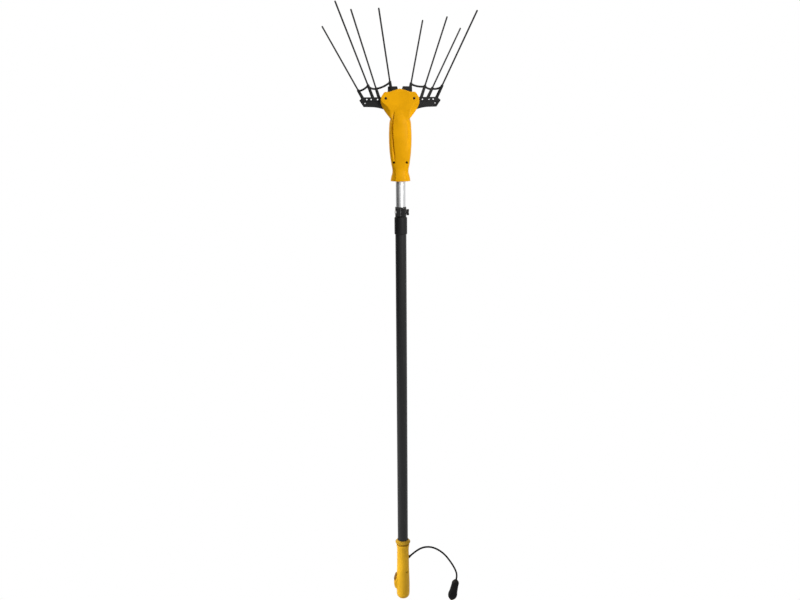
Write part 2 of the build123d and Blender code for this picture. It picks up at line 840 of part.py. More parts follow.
def handle_shells():
    """Left and right halves of the handle, parted on X = 0."""
    body = grip_form() + bump_form() - grip_hollow()
    for y, z in handle_screw_spots:
        boss = rod_x(3.6, -22, 22, y, z) & grip_form()
        body += boss
    body -= switch_plane * block(-switch_half, switch_half, -switch_wide, switch_wide, -21, 20)
    body -= between(gland_in - gland_way * 8, gland_out, gland_r, gland_r)
    for y, z in handle_screw_spots:
        body -= rod_x(handle_screw_r, -12, 40, y, z)
        body -= rod_x(3.2, handle_seat, 40, y, z)
    left = body & block(-60, 0, -60, 60, -grip_below - 1, grip_above + 1)
    right = body & block(0, 60, -60, 60, -grip_below - 1, grip_above + 1)
    return left, right


def handle_collar():
    """Flared skirt that closes the two halves round the tube, undercut above the grip."""
    lip = collar_top - 12.4
    flare = Spline((outer_tube_r + 0.6, collar_top), (outer_tube_r + 2.7, collar_top - 6.9),
                   (collar_radius, lip))
    under = Polyline((collar_radius, lip), (collar_radius - 0.4, lip - 0.9), (collar_radius - 3.2, lip - 1.9),
                     (collar_radius - 3.4, grip_above), (outer_tube_r, grip_above),
                     (outer_tube_r, collar_top), (outer_tube_r + 0.6, collar_top))
    return revolve(Plane.XZ * make_face([flare, under]), axis=Axis.Z)


def handle_screws():
    screws = []
    for y, z in handle_screw_spots:
        shank = rod_x(handle_screw_r, -11.5, handle_seat, y, z)
        screws.append(shank + rod_x(2.9, handle_seat, handle_seat + 2.2, y, z))
    return Compound(children=screws)


rocker_half = 7.0
rocker_wide = 4.8
rocker_gap = 1.5
rocker_axis = -3.0
trunnion_r = 1.3
trunnion_reach = rocker_wide + 1.4


def switch_body():
    """Switch housing with its bezel, the rocker's well and the seats of its trunnions."""
    body = block(-switch_half, switch_half, -switch_wide, switch_wide, -20, 0.8)
    room_x = rocker_half + rocker_gap
    room_y = rocker_wide + slide_gap
    body -= block(-room_x, room_x, -room_y, room_y, -8, 2)
    seat = trunnion_reach + 0.1
    body -= rod_y(trunnion_r + running_fit, -seat, seat, 0, rocker_axis)
    return switch_plane * body


def switch_rocker():
    """Rocker with a crowned face, on two round trunnions."""
    crown = ThreePointArc((rocker_half, 1.0), (0, 3.2), (-rocker_half, 1.0))
    sides = Polyline((-rocker_half, 1.0), (-rocker_half, -5), (rocker_half, -5), (rocker_half, 1.0))
    body = slab(make_face([crown, sides]), -rocker_wide, rocker_wide)
    body += rod_y(trunnion_r, -trunnion_reach, trunnion_reach, 0, rocker_axis)
    return switch_plane * body


def cable_gland():
    """Rubber boot of the supply cable, tapered to the cable."""
    body = between(gland_in, gland_mid + gland_way * 2, gland_r, gland_r)
    body += between(gland_mid + gland_way * 2, gland_out, gland_r, cable_diameter / 2 + 0.4)
    return body


# Supply cable: straight out of the gland, over a low arch and down to the plug.
cable_start = gland_out + gland_way * 27.0
cable_route = [
    (gland_out.X, 0, gland_out.Z), (cable_start.X, 0, cable_start.Z), (72, 0, 53.5), (99, 0, 54),
    (124, 0, 42.5), (147, 0, 23), (166, 0, -4), (181.5, 0, -31), (190, 0, -57), (186.4, 0, -74.6),
]


def cable_radii():
    """Arc at each inner point: as large as its shorter run allows."""
    points = [Vector(*point) for point in cable_route]
    radii = []
    for before, here, after in zip(points, points[1:], points[2:]):
        first, second = here - before, after - here
        half = radians(first.get_angle(second)) / 2
        radii.append(0.45 * min(first.length, second.length) / tan(half))
    return radii


def supply_cable():
    radii = cable_radii()
    path = FilletPolyline(*cable_route, radius=radii)
    tube = sweep(Plane(origin=cable_route[0], z_dir=path % 0) * Circle(cable_diameter / 2), path=path)
    print("cable radii", [round(radius, 1) for radius in radii], "length", round(path.length, 1))
    print("cable volume ratio", round(tube.volume / (pi * cable_diameter ** 2 / 4 * path.length), 4))
    return tube


plug_way = (Vector(*cable_route[-1]) - Vector(*cable_route[-2])).normalized()
plug_plane = Plane(origin=cable_route[-1], x_dir=(0, 1, 0), z_dir=plug_way)
contact_r = 2.2
contact_length = 8.0


def supply_plug():
    """Moulded plug: narrow at the cable, fuller towards its nose."""
    stations = [(0.0, 4.5, 4.5), (0.1, 8.4, 11.0), (0.28, 9.4, 12.4), (0.57, 10.4, 14.0),
                (0.76, 11.0, 15.8), (0.89, 9.4, 13.4), (1.0, 5.0, 6.0)]
    rings = [Pos(0, 0, part * plug_length) * Ellipse(deep, wide) for part, deep, wide in stations]
    return plug_plane * loft(rings)


def plug_contact():
    return plug_plane * span(contact_r, plug_length, plug_length + contact_length)


def main():
    os.makedirs("parts", exist_ok=True)
    front, rear = head_shells()
    save("head_front_shell", front)
    save("head_rear_shell", rear)
    save("head_screws", head_screws())
    save("pivot_screws", pivot_screws())
    tooth_step = 2 * pi * sector_module / pivot_spacing
    left = comb(-1, left_rods, 3, -tooth_step)
    for x, z in fork_screw_spots:
        left -= rod_y(fork_screw_r, -half_comb - 1, half_comb - 2, x, pivot_z + z)
    save("left_comb", left)
    save("right_comb", comb(1, right_rods, 4, -1.5 * tooth_step))
    for side, name, rods in ((-1, "left", left_rods), (1, "right", right_rods)):
        save(name + "_pivot_pin", pivot_pin(side))
        save(name + "_pivot_bush", pivot_bush(side))
        for number, rod in enumerate(rods, 1):
            save(name + "_tine_" + str(number), tine(side, rod))
    save("drive_fork", drive_fork())
    save("fork_screws", fork_screws())
    save("crankshaft", crankshaft())
    save("crank_roller", crank_roller())
    save("crank_bearings", crank_bearings())
    save("planet_carrier", planet_carrier())
    for index in range(planet_count):
        save("planet_gear_" + str(index + 1), planet_gear(index))
    save("sun_gear", sun_gear())
    save("gearbox_case", gearbox_case())
    save("gearbox_cover", gearbox_cover())
    save("motor_can", motor_can())
    save("motor_magnets", motor_magnets())
    save("motor_rotor", motor_rotor())
    save("motor_shaft", motor_shaft())
    save("motor_commutator", motor_commutator())
    save("motor_end_cap", motor_end_cap())
    save("motor_brushes", motor_brushes())
    save("outer_tube", outer_tube())
    save("inner_tube", inner_tube())
    save("inner_tube_guide", inner_tube_guide())
    save("pole_lead", pole_lead())
    save("clamp_body", clamp_body())
    save("clamp_bolt", clamp_bolt())
    save("clamp_nut", clamp_nut())
    save("clamp_knob", clamp_knob())
    left, right = handle_shells()
    save("handle_left_shell", left)
    save("handle_right_shell", right)
    save("handle_collar", handle_collar())
    save("handle_screws", handle_screws())
    save("switch_body", switch_body())
    save("switch_rocker", switch_rocker())
    save("cable_gland", cable_gland())
    save("supply_cable", supply_cable())
    save("supply_plug", supply_plug())
    save("plug_contact", plug_contact())


main()
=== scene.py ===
from math import pi, radians

import bmesh
import bpy
import numpy as np
from bpy.props import FloatProperty, FloatVectorProperty, PointerProperty
from mathutils import Matrix, Vector


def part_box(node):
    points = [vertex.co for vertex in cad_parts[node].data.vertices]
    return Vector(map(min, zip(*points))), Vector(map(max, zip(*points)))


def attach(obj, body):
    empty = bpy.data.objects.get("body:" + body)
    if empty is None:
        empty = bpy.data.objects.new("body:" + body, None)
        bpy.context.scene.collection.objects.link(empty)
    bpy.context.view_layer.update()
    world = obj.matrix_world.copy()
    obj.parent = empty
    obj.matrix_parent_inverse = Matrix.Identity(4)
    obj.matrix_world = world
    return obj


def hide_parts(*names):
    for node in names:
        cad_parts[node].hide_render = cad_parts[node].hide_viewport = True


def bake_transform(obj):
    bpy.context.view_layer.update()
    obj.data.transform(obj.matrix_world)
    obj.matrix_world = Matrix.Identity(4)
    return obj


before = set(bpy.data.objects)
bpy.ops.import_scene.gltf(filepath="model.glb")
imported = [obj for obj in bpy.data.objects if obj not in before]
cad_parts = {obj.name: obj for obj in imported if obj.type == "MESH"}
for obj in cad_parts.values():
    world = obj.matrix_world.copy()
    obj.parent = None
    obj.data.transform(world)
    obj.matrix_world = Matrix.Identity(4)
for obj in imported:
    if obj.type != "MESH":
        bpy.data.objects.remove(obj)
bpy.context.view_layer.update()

bl_info = {
    "name": "Olive harvester",
    "version": (1, 0, 0),
    "blender": (4, 5, 0),
    "location": "View3D > Sidebar > Harvester",
    "description": "Builds the telescopic olive harvester's visible pieces and finishes",
    "category": "Add Mesh",
}

MM = 0.001
FLAT = np.array([1.0, 1.0, 0.0])
UP = np.array([0.0, 0.0, 1.0])


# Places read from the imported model, in millimetres


def node_box(name):
    low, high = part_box(name)
    return np.array(low) / MM, np.array(high) / MM


HEAD_LOW = node_box("head_front_shell")[0]
PIN_LOW, PIN_HIGH = node_box("right_pivot_pin")
PIVOT = (PIN_LOW + PIN_HIGH) / 2
GRIP_LOW, GRIP_HIGH = node_box("handle_right_shell")
COLLAR_LOW, COLLAR_HIGH = node_box("handle_collar")
TUBE_R = node_box("outer_tube")[1][0]
INNER_R = node_box("inner_tube")[1][0]
LEAD_LOW, LEAD_HIGH = node_box("pole_lead")


def size_prop(name, text, value):
    return FloatProperty(name=name, description=text, default=value, unit="LENGTH")


class HarvesterSizes(bpy.types.PropertyGroup):
    """Sizes of the visible forms."""

    rim: size_prop("Fan rim", "Rounding of the fan's rims", 0.003)
    bevel: size_prop("Flank bevel", "Bevel of the fan's flanks at the neck", 0.0165)
    head_wall: size_prop("Head wall", "Wall of the head halves", 0.0045)
    grip_wall: size_prop("Grip wall", "Wall of the handle halves", 0.0028)
    seam: size_prop("Seam", "Half of the gap between two moulded halves", 0.0002)
    rod: size_prop("Rod radius", "Radius of the carbon rods", 0.0025)
    cable: size_prop("Cable diameter", "Diameter of the supply cable", 0.006)


def colour_prop(name, text, value):
    return FloatVectorProperty(name=name, description=text, default=value, size=3,
                               min=0.0, max=1.0, subtype="COLOR")


class HarvesterColours(bpy.types.PropertyGroup):
    """Colours of the main finishes."""

    head: colour_prop("Head", "Moulded head halves", (0.82, 0.385, 0.002))
    # The handle's colour is the head's yellow plastic retuned for the light that falls on the handle:
    # painted light.
    handle: colour_prop("Handle", "Moulded handle halves", (0.76, 0.42, 0.016))
    nylon: colour_prop("Combs", "Glass filled nylon of combs and clamp", (0.008, 0.0083, 0.0087))
    rod: colour_prop("Rods", "Carbon rods", (0.012, 0.012, 0.0125))
    tube: colour_prop("Outer tube", "Black tube of the pole", (0.016, 0.0165, 0.017))
    bright: colour_prop("Inner tube", "Bright aluminium tube", (0.62, 0.627, 0.635))
    switch: colour_prop("Switch", "Rocker switch and its bezel", (0.25, 0.125, 0.014))
    rubber: colour_prop("Rubber", "Cable, gland and plug", (0.0045, 0.0045, 0.0048))


# Curves and surfaces


def smooth(value):
    """Smoothstep: 3 v squared minus 2 v cubed, held between 0 and 1."""
    value = np.clip(value, 0.0, 1.0)
    return value * value * (3.0 - 2.0 * value)


def soft_max(a, b, width):
    """Larger of two fields, blended by a parabola where they differ by less than the width."""
    share = np.clip(0.5 + 0.5 * (a - b) / width, 0.0, 1.0)
    return a * share + b * (1.0 - share) + width * share * (1.0 - share)


def soft_min(a, b, width):
    """Smaller of two fields, blended in the same way."""
    return -soft_max(-a, -b, width)


def flow(x, stations):
    """Cubic curve through (place, value) stations, with the slope at each from its neighbours."""
    xs, ys = np.array(stations, float).T
    slopes = np.gradient(ys, xs)
    x = np.clip(x, xs[0], xs[-1])
    i = np.clip(np.searchsorted(xs, x) - 1, 0, len(xs) - 2)
    step = xs[i + 1] - xs[i]
    t = (x - xs[i]) / step
    return (ys[i] * (1 + 2 * t) * (1 - t) ** 2 + slopes[i] * step * t * (1 - t) ** 2
            + ys[i + 1] * t * t * (3 - 2 * t) + slopes[i + 1] * step * t * t * (t - 1))


def circle(count):
    """Angles of even steps round a circle."""
    return np.linspace(0, 2 * pi, count, endpoint=False)


def powered(value, power):
    """Cosine or sine for a superellipse: its size to the power of 2 over power, with its sign."""
    return np.sign(value) * np.abs(value) ** (2 / power)


def quads_of(rows, columns, wrap):
    """Corner numbers of a grid's quads, row by row; wrap joins the last column to the first."""
    r, c = np.meshgrid(np.arange(rows - 1), np.arange(columns - (not wrap)), indexing="ij")
    n = (c + 1) % columns
    low, high = r * columns, (r + 1) * columns
    return np.stack([low + c, low + n, high + n, high + c], -1)


def skin(name, grids, wrap=False, uv=False):
    """Mesh of one or more point grids [rows, columns, 3] in millimetres.

    Each grid's neighbours make quads. With uv, U runs along the columns and V
    along the rows, both from 0 to 1.
    """
    points, faces, maps, first = [], [], [], 0
    for grid in grids:
        rows, columns = grid.shape[:2]
        quads = quads_of(rows, columns, wrap)
        faces.append(quads.reshape(-1, 4) + first)
        points.append(grid.reshape(-1, 3))
        r, c = np.meshgrid(np.arange(rows - 1), np.arange(quads.shape[1]), indexing="ij")
        u = np.stack([c, c + 1, c + 1, c], -1) / quads.shape[1]
        v = np.stack([r, r, r + 1, r + 1], -1) / (rows - 1)
        maps.append(np.stack([u, v], -1).reshape(-1, 2))
        first += rows * columns
    points = np.concatenate(points) * MM
    faces = np.concatenate(faces)
    mesh = bpy.data.meshes.new(name)
    mesh.vertices.add(len(points))
    mesh.vertices.foreach_set("co", points.ravel())
    mesh.loops.add(faces.size)
    mesh.loops.foreach_set("vertex_index", faces.ravel())
    mesh.polygons.add(len(faces))
    mesh.polygons.foreach_set("loop_start", np.arange(0, faces.size, 4))
    if uv:
        layer = mesh.uv_layers.new(name="UVMap")
        layer.data.foreach_set("uv", np.concatenate(maps).ravel())
    mesh.update(calc_edges=True)
    return mesh


WELD, SLIVER = 1e-6, 1e-7


def merge(mesh):
    """Joins double points, drops empty faces and turns the faces outwards."""
    form = bmesh.new()
    form.from_mesh(mesh)
    bmesh.ops.remove_doubles(form, verts=form.verts, dist=WELD)
    bmesh.ops.dissolve_degenerate(form, edges=form.edges, dist=SLIVER)
    bmesh.ops.recalc_face_normals(form, faces=form.faces)
    form.to_mesh(mesh)
    form.free()
    return mesh


def place(name, mesh):
    piece = bpy.data.objects.new(name, mesh)
    bpy.context.scene.collection.objects.link(piece)
    return piece


def solid(name, grids, uv=False):
    """Piece of closed grids, in which each row is a ring."""
    return place(name, merge(skin(name, grids, True, uv)))


def settle(piece, angle=32.0):
    """Applies the modifiers and shades smooth, with edges sharper than the angle kept crisp."""
    bpy.context.view_layer.update()
    graph = bpy.context.evaluated_depsgraph_get()
    mesh = bpy.data.meshes.new_from_object(piece.evaluated_get(graph))
    piece.modifiers.clear()
    old, piece.data = piece.data, mesh
    bpy.data.meshes.remove(old)
    mesh.name = piece.name
    mesh.polygons.foreach_set("use_smooth", np.ones(len(mesh.polygons), bool))
    mesh.set_sharp_from_angle(angle=radians(angle))
    return piece


def shell(name, outer, inner):
    """Closed wall between two skins of the same grid.

    Each row is a loop that runs along the outer skin and back along the inner
    one; at both ends the outer points close onto the inner ones.
    """
    def loop(first, second):
        return np.concatenate([first, second[:, ::-1]], axis=1)

    rows = [loop(inner[:1], inner[:1]), loop(outer, inner), loop(inner[-1:], inner[-1:])]
    return solid(name, [np.concatenate(rows)])


def cut(piece, cutters):
    """Takes closed forms out of a piece and removes them."""
    for number, cutter in enumerate(cutters):
        hole = piece.modifiers.new("hole_" + str(number), "BOOLEAN")
        hole.operation = "DIFFERENCE"
        hole.solver = "MANIFOLD"
        hole.object = cutter
    settle(piece)
    for cutter in cutters:
        mesh = cutter.data
        bpy.data.objects.remove(cutter)
        bpy.data.meshes.remove(mesh)


def stand_for(piece, body, look, node):
    """Dresses a piece in a finish, ties it to its body and hides the node it stands for."""
    piece.data.materials.clear()
    piece.data.materials.append(finish(look))
    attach(piece, body)
    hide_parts(node)


def frame_along(way, side):
    """Two unit directions across a line, the first one nearest to side."""
    way = np.array(way, float) / np.linalg.norm(way)
    first = np.array(side, float) - np.dot(side, way) * way
    first /= np.linalg.norm(first)
    return way, first, np.cross(way, first)


def turned(profile, origin, way, side=(0.0, 1.0, 0.0), around=48):
    """Grid of a (radius, height) profile turned about the line from origin along way."""
    way, first, second = frame_along(way, side)
    radius, height = np.array(profile, float).T
    angle = circle(around)
    ring = np.cos(angle)[:, None] * first + np.sin(angle)[:, None] * second
    return np.array(origin) + radius[:, None, None] * ring + height[:, None, None] * way


def arc(centre, radius, start, end, count):
    """(radius, height) points on an arc, angles in degrees."""
    angle = np.radians(np.linspace(start, end, count))
    return np.stack([centre[0] + radius * np.cos(angle), centre[1] + radius * np.sin(angle)], -1)


DRILL_LONG = 30.0


def drill(radius, origin, way):
    """Closed cylinder from origin along way, used as a cutter."""
    profile = [(0, 0), (radius, 0), (radius, DRILL_LONG), (0, DRILL_LONG)]
    return solid("drill", [turned(profile, origin, way, UP)])


# Head: stations are (height over the foot, value), corners (half width, height over the pivots)


NECK = [(0, 30.4), (7, 29.8), (31, 24.8), (51, 28.0), (81, 32.2), (122, 34.6), (153, 34.2),
        (186, 30.4), (197, 26.0), (206, 19.0), (213, 9.0), (216, 0.0)]
NECK_POWER = [(0, 2.0), (18, 2.2), (36, 3.4), (60, 4.0), (110, 3.6), (150, 2.8), (216, 2.0)]
NECK_BLEND = 2.0
PANEL = [(-1, 16.0), (30, 15.2), (59, 15.8), (77, 17.0), (97, 19.4), (111, 20.8), (125, 21.9),
         (146, 23.0), (160, 22.8), (176, 21.6), (186, 20.9), (197, 19.2), (213, 14.6), (232, 9.0),
         (242, 6.0)]
PANEL_FRONT = [(0, 31.4), (12, 30.4), (31, 26.4), (51, 29.2), (81, 33.2), (122, 36.2), (143, 36.2),
               (163, 34.6), (183, 30.4), (197, 26.6), (207, 24.2), (216, 22.4), (226, 21.7),
               (244, 21.7)]
PANEL_CROWN = [(0, 28), (40, 28), (80, 55), (150, 60), (180, 52), (200, 46), (244, 46)]
PANEL_STEP = 2.6
PANEL_TOP = 240.0
CREASE = 5.4
CREASE_HALF = 2.3
CREASE_LOW, CREASE_HIGH = 48.0, 214.0
CREASE_FADE = 40.0
LOBE_TOP = (46.5, 19.2)
LOBE_SIDE = (57.5, 3.0)
LOBE_LOW = (58.8, -13.0)
FLANK_MID = (51.0, -31.5)
FAN_FOOT = (31.0, -57.0)
LOBE_BLEND = 3.0
FLANK_BLEND = 4.0
BEVEL = [(-58, 0.2), (-53, 0.3), (-47, 0.55), (-41, 0.8), (-35, 1.0), (-28, 1.0), (-20, 0.8),
         (-12, 0.35), (-4, 0.0)]
BEVEL_RISE = 0.75
BEVEL_CUT = 0.6
FADE_LOW, FADE_LONG = -100.0, 44.0
FADE_SUNK = 6.0
HALF_FAN = 22.0
FACE = [(140, 28.8), (183, 28.8), (197, 25.9), (207, 23.9), (216, 22.6), (226, 22.0), (275, 22.0)]
LEFT_DIP = [(140, 0.0), (160, 3.0), (183, 5.0), (197, 3.8), (207, 2.2), (216, 1.0), (226, 0.0)]
ROOF_RISE = 9.6
ROOF_HALF = 30.0
ROOF_SOFT = 2.0
ROOF_BASE = 0.3
ROOF_START = -10.0
SLOT_FLOOR = -37.0
SLOT_HALF = 6.5
SLOT_FLARE = 0.25
FLARE_START = 12.0
TUBE_PLAY = 0.25
RIM_ROWS = 9
FAN_ROWS_LOW = -62.0
LEAST_SHARE = 1e-4


def line_at(level, a, b):
    """Half width, at a level, of the straight edge through two (half width, level) places."""
    return a[0] + (b[0] - a[0]) * (level - a[1]) / (b[1] - a[1])


def roof(x):
    """Height of the roof over the lobes' tops: a low rounded ridge that falls to both sides."""
    across = np.sqrt(x * x + ROOF_SOFT ** 2)
    return np.maximum(0.0, ROOF_RISE * (1.0 - across / ROOF_HALF) + ROOF_BASE)


def slot_edge(level):
    """Half width of the comb slot, which flares towards its mouth."""
    return SLOT_HALF + SLOT_FLARE * np.maximum(0.0, level - FLARE_START)


def head_levels(base, top, rim):
    """Heights of the wall's rows over the pivots, and how far each row draws in.

    The last rows climb a quarter circle of the rim's radius.
    """
    quarter = np.linspace(0, pi / 2, RIM_ROWS)
    level = np.concatenate([
        np.linspace(base, FAN_ROWS_LOW, 92), np.linspace(FAN_ROWS_LOW + 1, SLOT_FLOOR - 0.1, 22),
        np.linspace(SLOT_FLOOR + 0.1, top - rim - 0.8, 46), top - rim + rim * np.sin(quarter)])
    draw_in = np.concatenate([np.zeros(len(level) - RIM_ROWS), rim * (1 - np.cos(quarter))])
    return level[:, None], draw_in[:, None]


def fan_reach(level):
    """Half width of the fan: the blended smallest of its lobes' and its flanks' straight edges."""
    lobes = soft_min(line_at(level, LOBE_TOP, LOBE_SIDE),
                     line_at(level, LOBE_SIDE, LOBE_LOW), LOBE_BLEND)
    flank = soft_min(line_at(level, LOBE_LOW, FLANK_MID),
                     line_at(level, FLANK_MID, FAN_FOOT), FLANK_BLEND)
    return soft_min(lobes, flank, LOBE_BLEND)


def raised_panel(radius, above, c, s, left, inset):
    """Radius of the front half with its raised panel.

    The panel is an arc about a line behind the pole, with a short step along
    its edge. On the left a crease runs at the step's foot: a bell curve across
    it that fades out at both ends.
    """
    crown = flow(above, PANEL_CROWN)
    bulge = flow(above, PANEL_FRONT) - inset + crown
    front = np.sqrt((s * crown) ** 2 + bulge ** 2 - crown ** 2) - s * crown
    within = flow(above, PANEL) - inset - front * c
    below_top = above < PANEL_TOP
    panel = smooth(within / PANEL_STEP + 0.5) * below_top
    fade = smooth((above - CREASE_LOW) / CREASE_FADE) * smooth((CREASE_HIGH - above) / CREASE_FADE)
    crease = CREASE * np.exp(-((within + PANEL_STEP) / CREASE_HALF) ** 2) * below_top * fade * left
    return radius + np.maximum(0.0, front - radius) * panel - crease


def foot_rows(foot):
    """Rows of the foot's underside, from the tube's bore out towards the wall's first row."""
    bore = ((INNER_R + TUBE_PLAY) / np.hypot(foot[..., 0], foot[..., 1]))[..., None]
    return np.concatenate([foot * (FLAT * (bore + (1 - bore) * k) + UP) for k in (0.0, 0.5, 0.94)])


def roof_rows(last, side, height):
    """Rows over the roof, from the wall's last row straight in to the slot's mouth."""
    share = np.linspace(0.1, 1, 8)[:, None]
    run = np.linspace(1, -1, last.shape[1]) * last[0, 0, 0]
    mouth = slot_edge(LOBE_TOP[1] + roof(run))
    mouth[[0, -1]] = np.abs(last[0, [0, -1], 1])
    x = last[..., 0] + (run - last[..., 0]) * share
    y = np.abs(last[..., 1]) + (mouth - np.abs(last[..., 1])) * share
    return np.stack([x, side * y, height + roof(x)], -1)


def head_skin(side, rim, bevel, seam, inset, columns=216):
    """Skin of one head half, in horizontal sections round the pole's axis.

    Along one parameter the level climbs from the foot to the roof; along the
    other the direction turns from one side, over the face, to the other side.
    The radius is the blended larger of the neck and the fan. The neck is a
    turned profile, squared on the front half by a superellipse's power. The
    fan's section is the blended smallest of its side, its face and its
    bevelled corner, each a plane's distance divided by the direction's share
    along the plane's normal. Its face thickens towards the neck, less so on
    the front's left, and below its foot it fades into the neck. Near the top
    the section draws in along a quarter circle and the levels bend up into the
    ridge. The inset moves every plane and radius inwards, for the inner skin.
    """
    top, base = LOBE_TOP[1], HEAD_LOW[2] - PIVOT[2]
    level, draw_in = head_levels(base, top, rim)
    above = level - base
    neck = np.maximum(flow(above, NECK) * (above < NECK[-1][0]) - inset, 0.0)
    wide = np.maximum(fan_reach(level) - inset, 1.0) - draw_in
    deep = flow(above, FACE) - inset - draw_in
    edge = np.where(level < SLOT_FLOOR, seam, slot_edge(level))
    reach, depth = np.maximum(wide, neck), np.maximum(deep, neck)
    first = np.arctan2(edge, depth)
    turn = first + np.linspace(0, 1, columns)[None, :] * (pi - 2 * first)
    along, across = reach * np.cos(turn), depth * np.sin(turn)
    length = np.hypot(along, across)
    c, s = np.abs(along) / length, across / length
    left = np.cos(turn) < 0
    if side < 0:
        deep = deep - flow(above, LEFT_DIP) * left
    leg = bevel * flow(level, BEVEL)
    face = soft_min(wide / np.maximum(c, LEAST_SHARE), deep / np.maximum(s, LEAST_SHARE), rim)
    corner = (BEVEL_RISE * (wide - leg) + deep - BEVEL_CUT) / (BEVEL_RISE * c + s)
    sunk = neck - FADE_SUNK
    fade = smooth((level - FADE_LOW) / FADE_LONG)
    fan = sunk + (soft_min(face, corner, 0.5 * rim) - sunk) * fade
    if side < 0:
        power = flow(above, NECK_POWER)
        neck = neck * (c ** power + np.abs(s) ** power) ** (-1.0 / power)
    radius = soft_max(neck, fan, NECK_BLEND)
    if side < 0:
        radius = raised_panel(radius, above, c, s, left, inset)
    x = np.sign(np.cos(turn)) * radius * c
    y = np.maximum(radius * s, edge)
    held = np.clip(level, base + inset, top - inset)
    z = PIVOT[2] + held + roof(x) * smooth((level - ROOF_START) / (top - ROOF_START))
    wall = np.stack([x, side * y, z], -1)
    cover = roof_rows(wall[-1:], side, PIVOT[2] + top - inset)
    return np.concatenate([foot_rows(wall[:1]), wall, cover])


# The inner skins of two halves meet this far off the outer seam, so no light comes through
LAP = 1.4
RECESS_R = 4.0
RECESS_DEEP = 2.6
NECK_SCREWS = [(-19.5, 1368.4), (19.5, 1368.4)]
NECK_SEAT = -13.0
NECK_SEAT_R = 3.6


class HARVESTER_OT_head(bpy.types.Operator):
    """Builds the front and rear halves of the moulded head"""

    bl_idname = "harvester.head"
    bl_label = "Head halves"

    def execute(self, context):
        size = context.scene.harvester_sizes
        rim, bevel, seam, wall = np.array([size.rim, size.bevel, size.seam, size.head_wall]) / MM
        for name, side in (("front", -1), ("rear", 1)):
            outer = head_skin(side, rim, bevel, seam, 0.0)
            inner = head_skin(side, rim, bevel, seam + side * LAP, wall)
            piece = shell("head_" + name + "_half", outer, inner)
            floor = side * (HALF_FAN - RECESS_DEEP)
            drills = [drill(RECESS_R, (x, floor, PIVOT[2]), (0, side, 0)) for x in (-PIVOT[0], PIVOT[0])]
            if side < 0:
                drills += [drill(NECK_SEAT_R, (x, NECK_SEAT, z), (0, -1, 0)) for x, z in NECK_SCREWS]
            cut(piece, drills)
            stand_for(piece, "head", "head_yellow", "head_" + name + "_shell")
        return {"FINISHED"}


# Handle: stations are (height over the grip mount, radius or reach)


GRIP = [(-123, 22.6), (-100, 22.9), (-45, 21.8), (-5, 20.9), (30, 20.6), (50.6, 20.5), (62.6, 22.0),
        (70.6, 22.8)]
FOOT_R = 10.9
GROOVE = 3.2
GROOVE_DEEP = 3.4
TOP_ROUND, TOP_IN = 1.6, 0.9
TOP_WALLS = 2.2
TOP_PLAY = 1.0
BUMP = [(-103.5, 10.0), (-101.5, 21.5), (-99, 26.0), (-96, 28.4), (-90, 30.2), (-83, 31.4),
        (-78, 32.0), (-73.4, 31.8), (-71.8, 31.4), (-71.5, 26.4), (-45, 18.6), (-44, 12.0), (-43, 0.0)]
BUMP_HALF = 12.5
BUMP_ROUND = 5.0
BUMP_BLEND = 2.4
SHELF_LOW, SHELF_HIGH = -71.5, -45.0
HANDLE_SCREWS = [(-15.0, -34.0), (15.0, -34.0), (0.0, -124.0)]
HANDLE_SEAT = 8.0
HANDLE_SEAT_R = 3.2


def handle_skin(side, seam, inset, columns=128):
    """Skin of one handle half, in horizontal sections round the pole's axis.

    One parameter runs down the grip's profile, round its foot and in to the
    axis; the other turns through the half circle. The radius is the grip's
    curve, rounded at its top, where a first row falls inwards to the groove
    round the pole. On the left it is the blended larger of that and the switch
    housing, whose section is the blended smaller of its front plane and its
    two sides. The inset moves it all inwards, for the inner skin.
    """
    low, high, bend = GRIP_LOW[2], GRIP_HIGH[2] - GROOVE, GRIP[0][0]
    z = np.concatenate([high - np.linspace(0, TOP_ROUND, 5), np.linspace(high - 3, -22, 60),
                        np.linspace(-23, SHELF_HIGH + 0.7, 28), np.linspace(SHELF_HIGH, SHELF_LOW, 22),
                        np.linspace(SHELF_LOW - 0.3, bend + 2, 48),
                        bend - (bend - low) * np.sin(np.linspace(0, pi / 2, 16))])[:, None]
    round_off = np.sqrt(np.clip(1 - ((bend - z) / (bend - low)) ** 2, 0, 1))
    foot = FOOT_R + (GRIP[0][1] - FOOT_R) * round_off
    grip = np.where(z > bend, flow(z, GRIP), foot)
    grip = grip - TOP_IN * smooth((z - high + TOP_ROUND) / TOP_ROUND)
    last = pi / 2 - seam / grip
    turn = np.linspace(-1, 1, columns)[None, :] * last
    c, s = np.cos(turn), np.abs(np.sin(turn))
    radius = grip * np.ones_like(turn)
    if side < 0:
        plane = np.interp(z[:, 0], *np.array(BUMP).T)[:, None]
        bump = soft_min(plane / np.maximum(c, 1e-3), BUMP_HALF / np.maximum(s, 1e-3), BUMP_ROUND)
        radius = soft_max(radius, bump, BUMP_BLEND)
    radius = radius - inset
    held = np.clip(z, low + inset, high - TOP_WALLS * inset) * np.ones_like(turn)
    points = np.stack([side * radius * c, radius * np.sin(turn), held], -1)
    top = points[:1].copy()
    top[..., :2] *= ((TUBE_R + TOP_PLAY) / np.hypot(top[..., 0], top[..., 1]))[..., None]
    top[..., 2] = np.minimum(top[..., 2], high - GROOVE_DEEP)
    base = np.concatenate([points[-1:] * (FLAT * k + UP) for k in (0.75, 0.5, 0.25, 0.0)])
    return np.concatenate([top, points, base])


SWITCH_MID = np.array([-26.9, 0.0, -58.25])
SWITCH_DOWN = np.array([-0.28511, 0.0, -0.95849])
SWITCH_OUT = np.array([-0.95849, 0.0, 0.28511])
SWITCH_POWER = 9.0
SWITCH_HALF, SWITCH_WIDE = 13.2, 7.0
SWITCH_PLAY = 0.12
WELL_HALF, WELL_WIDE = 11.6, 5.8
ROCKER_HALF, ROCKER_WIDE = 10.8, 5.2
ROCKER_TOP, ROCKER_FALL = 3.3, 0.9


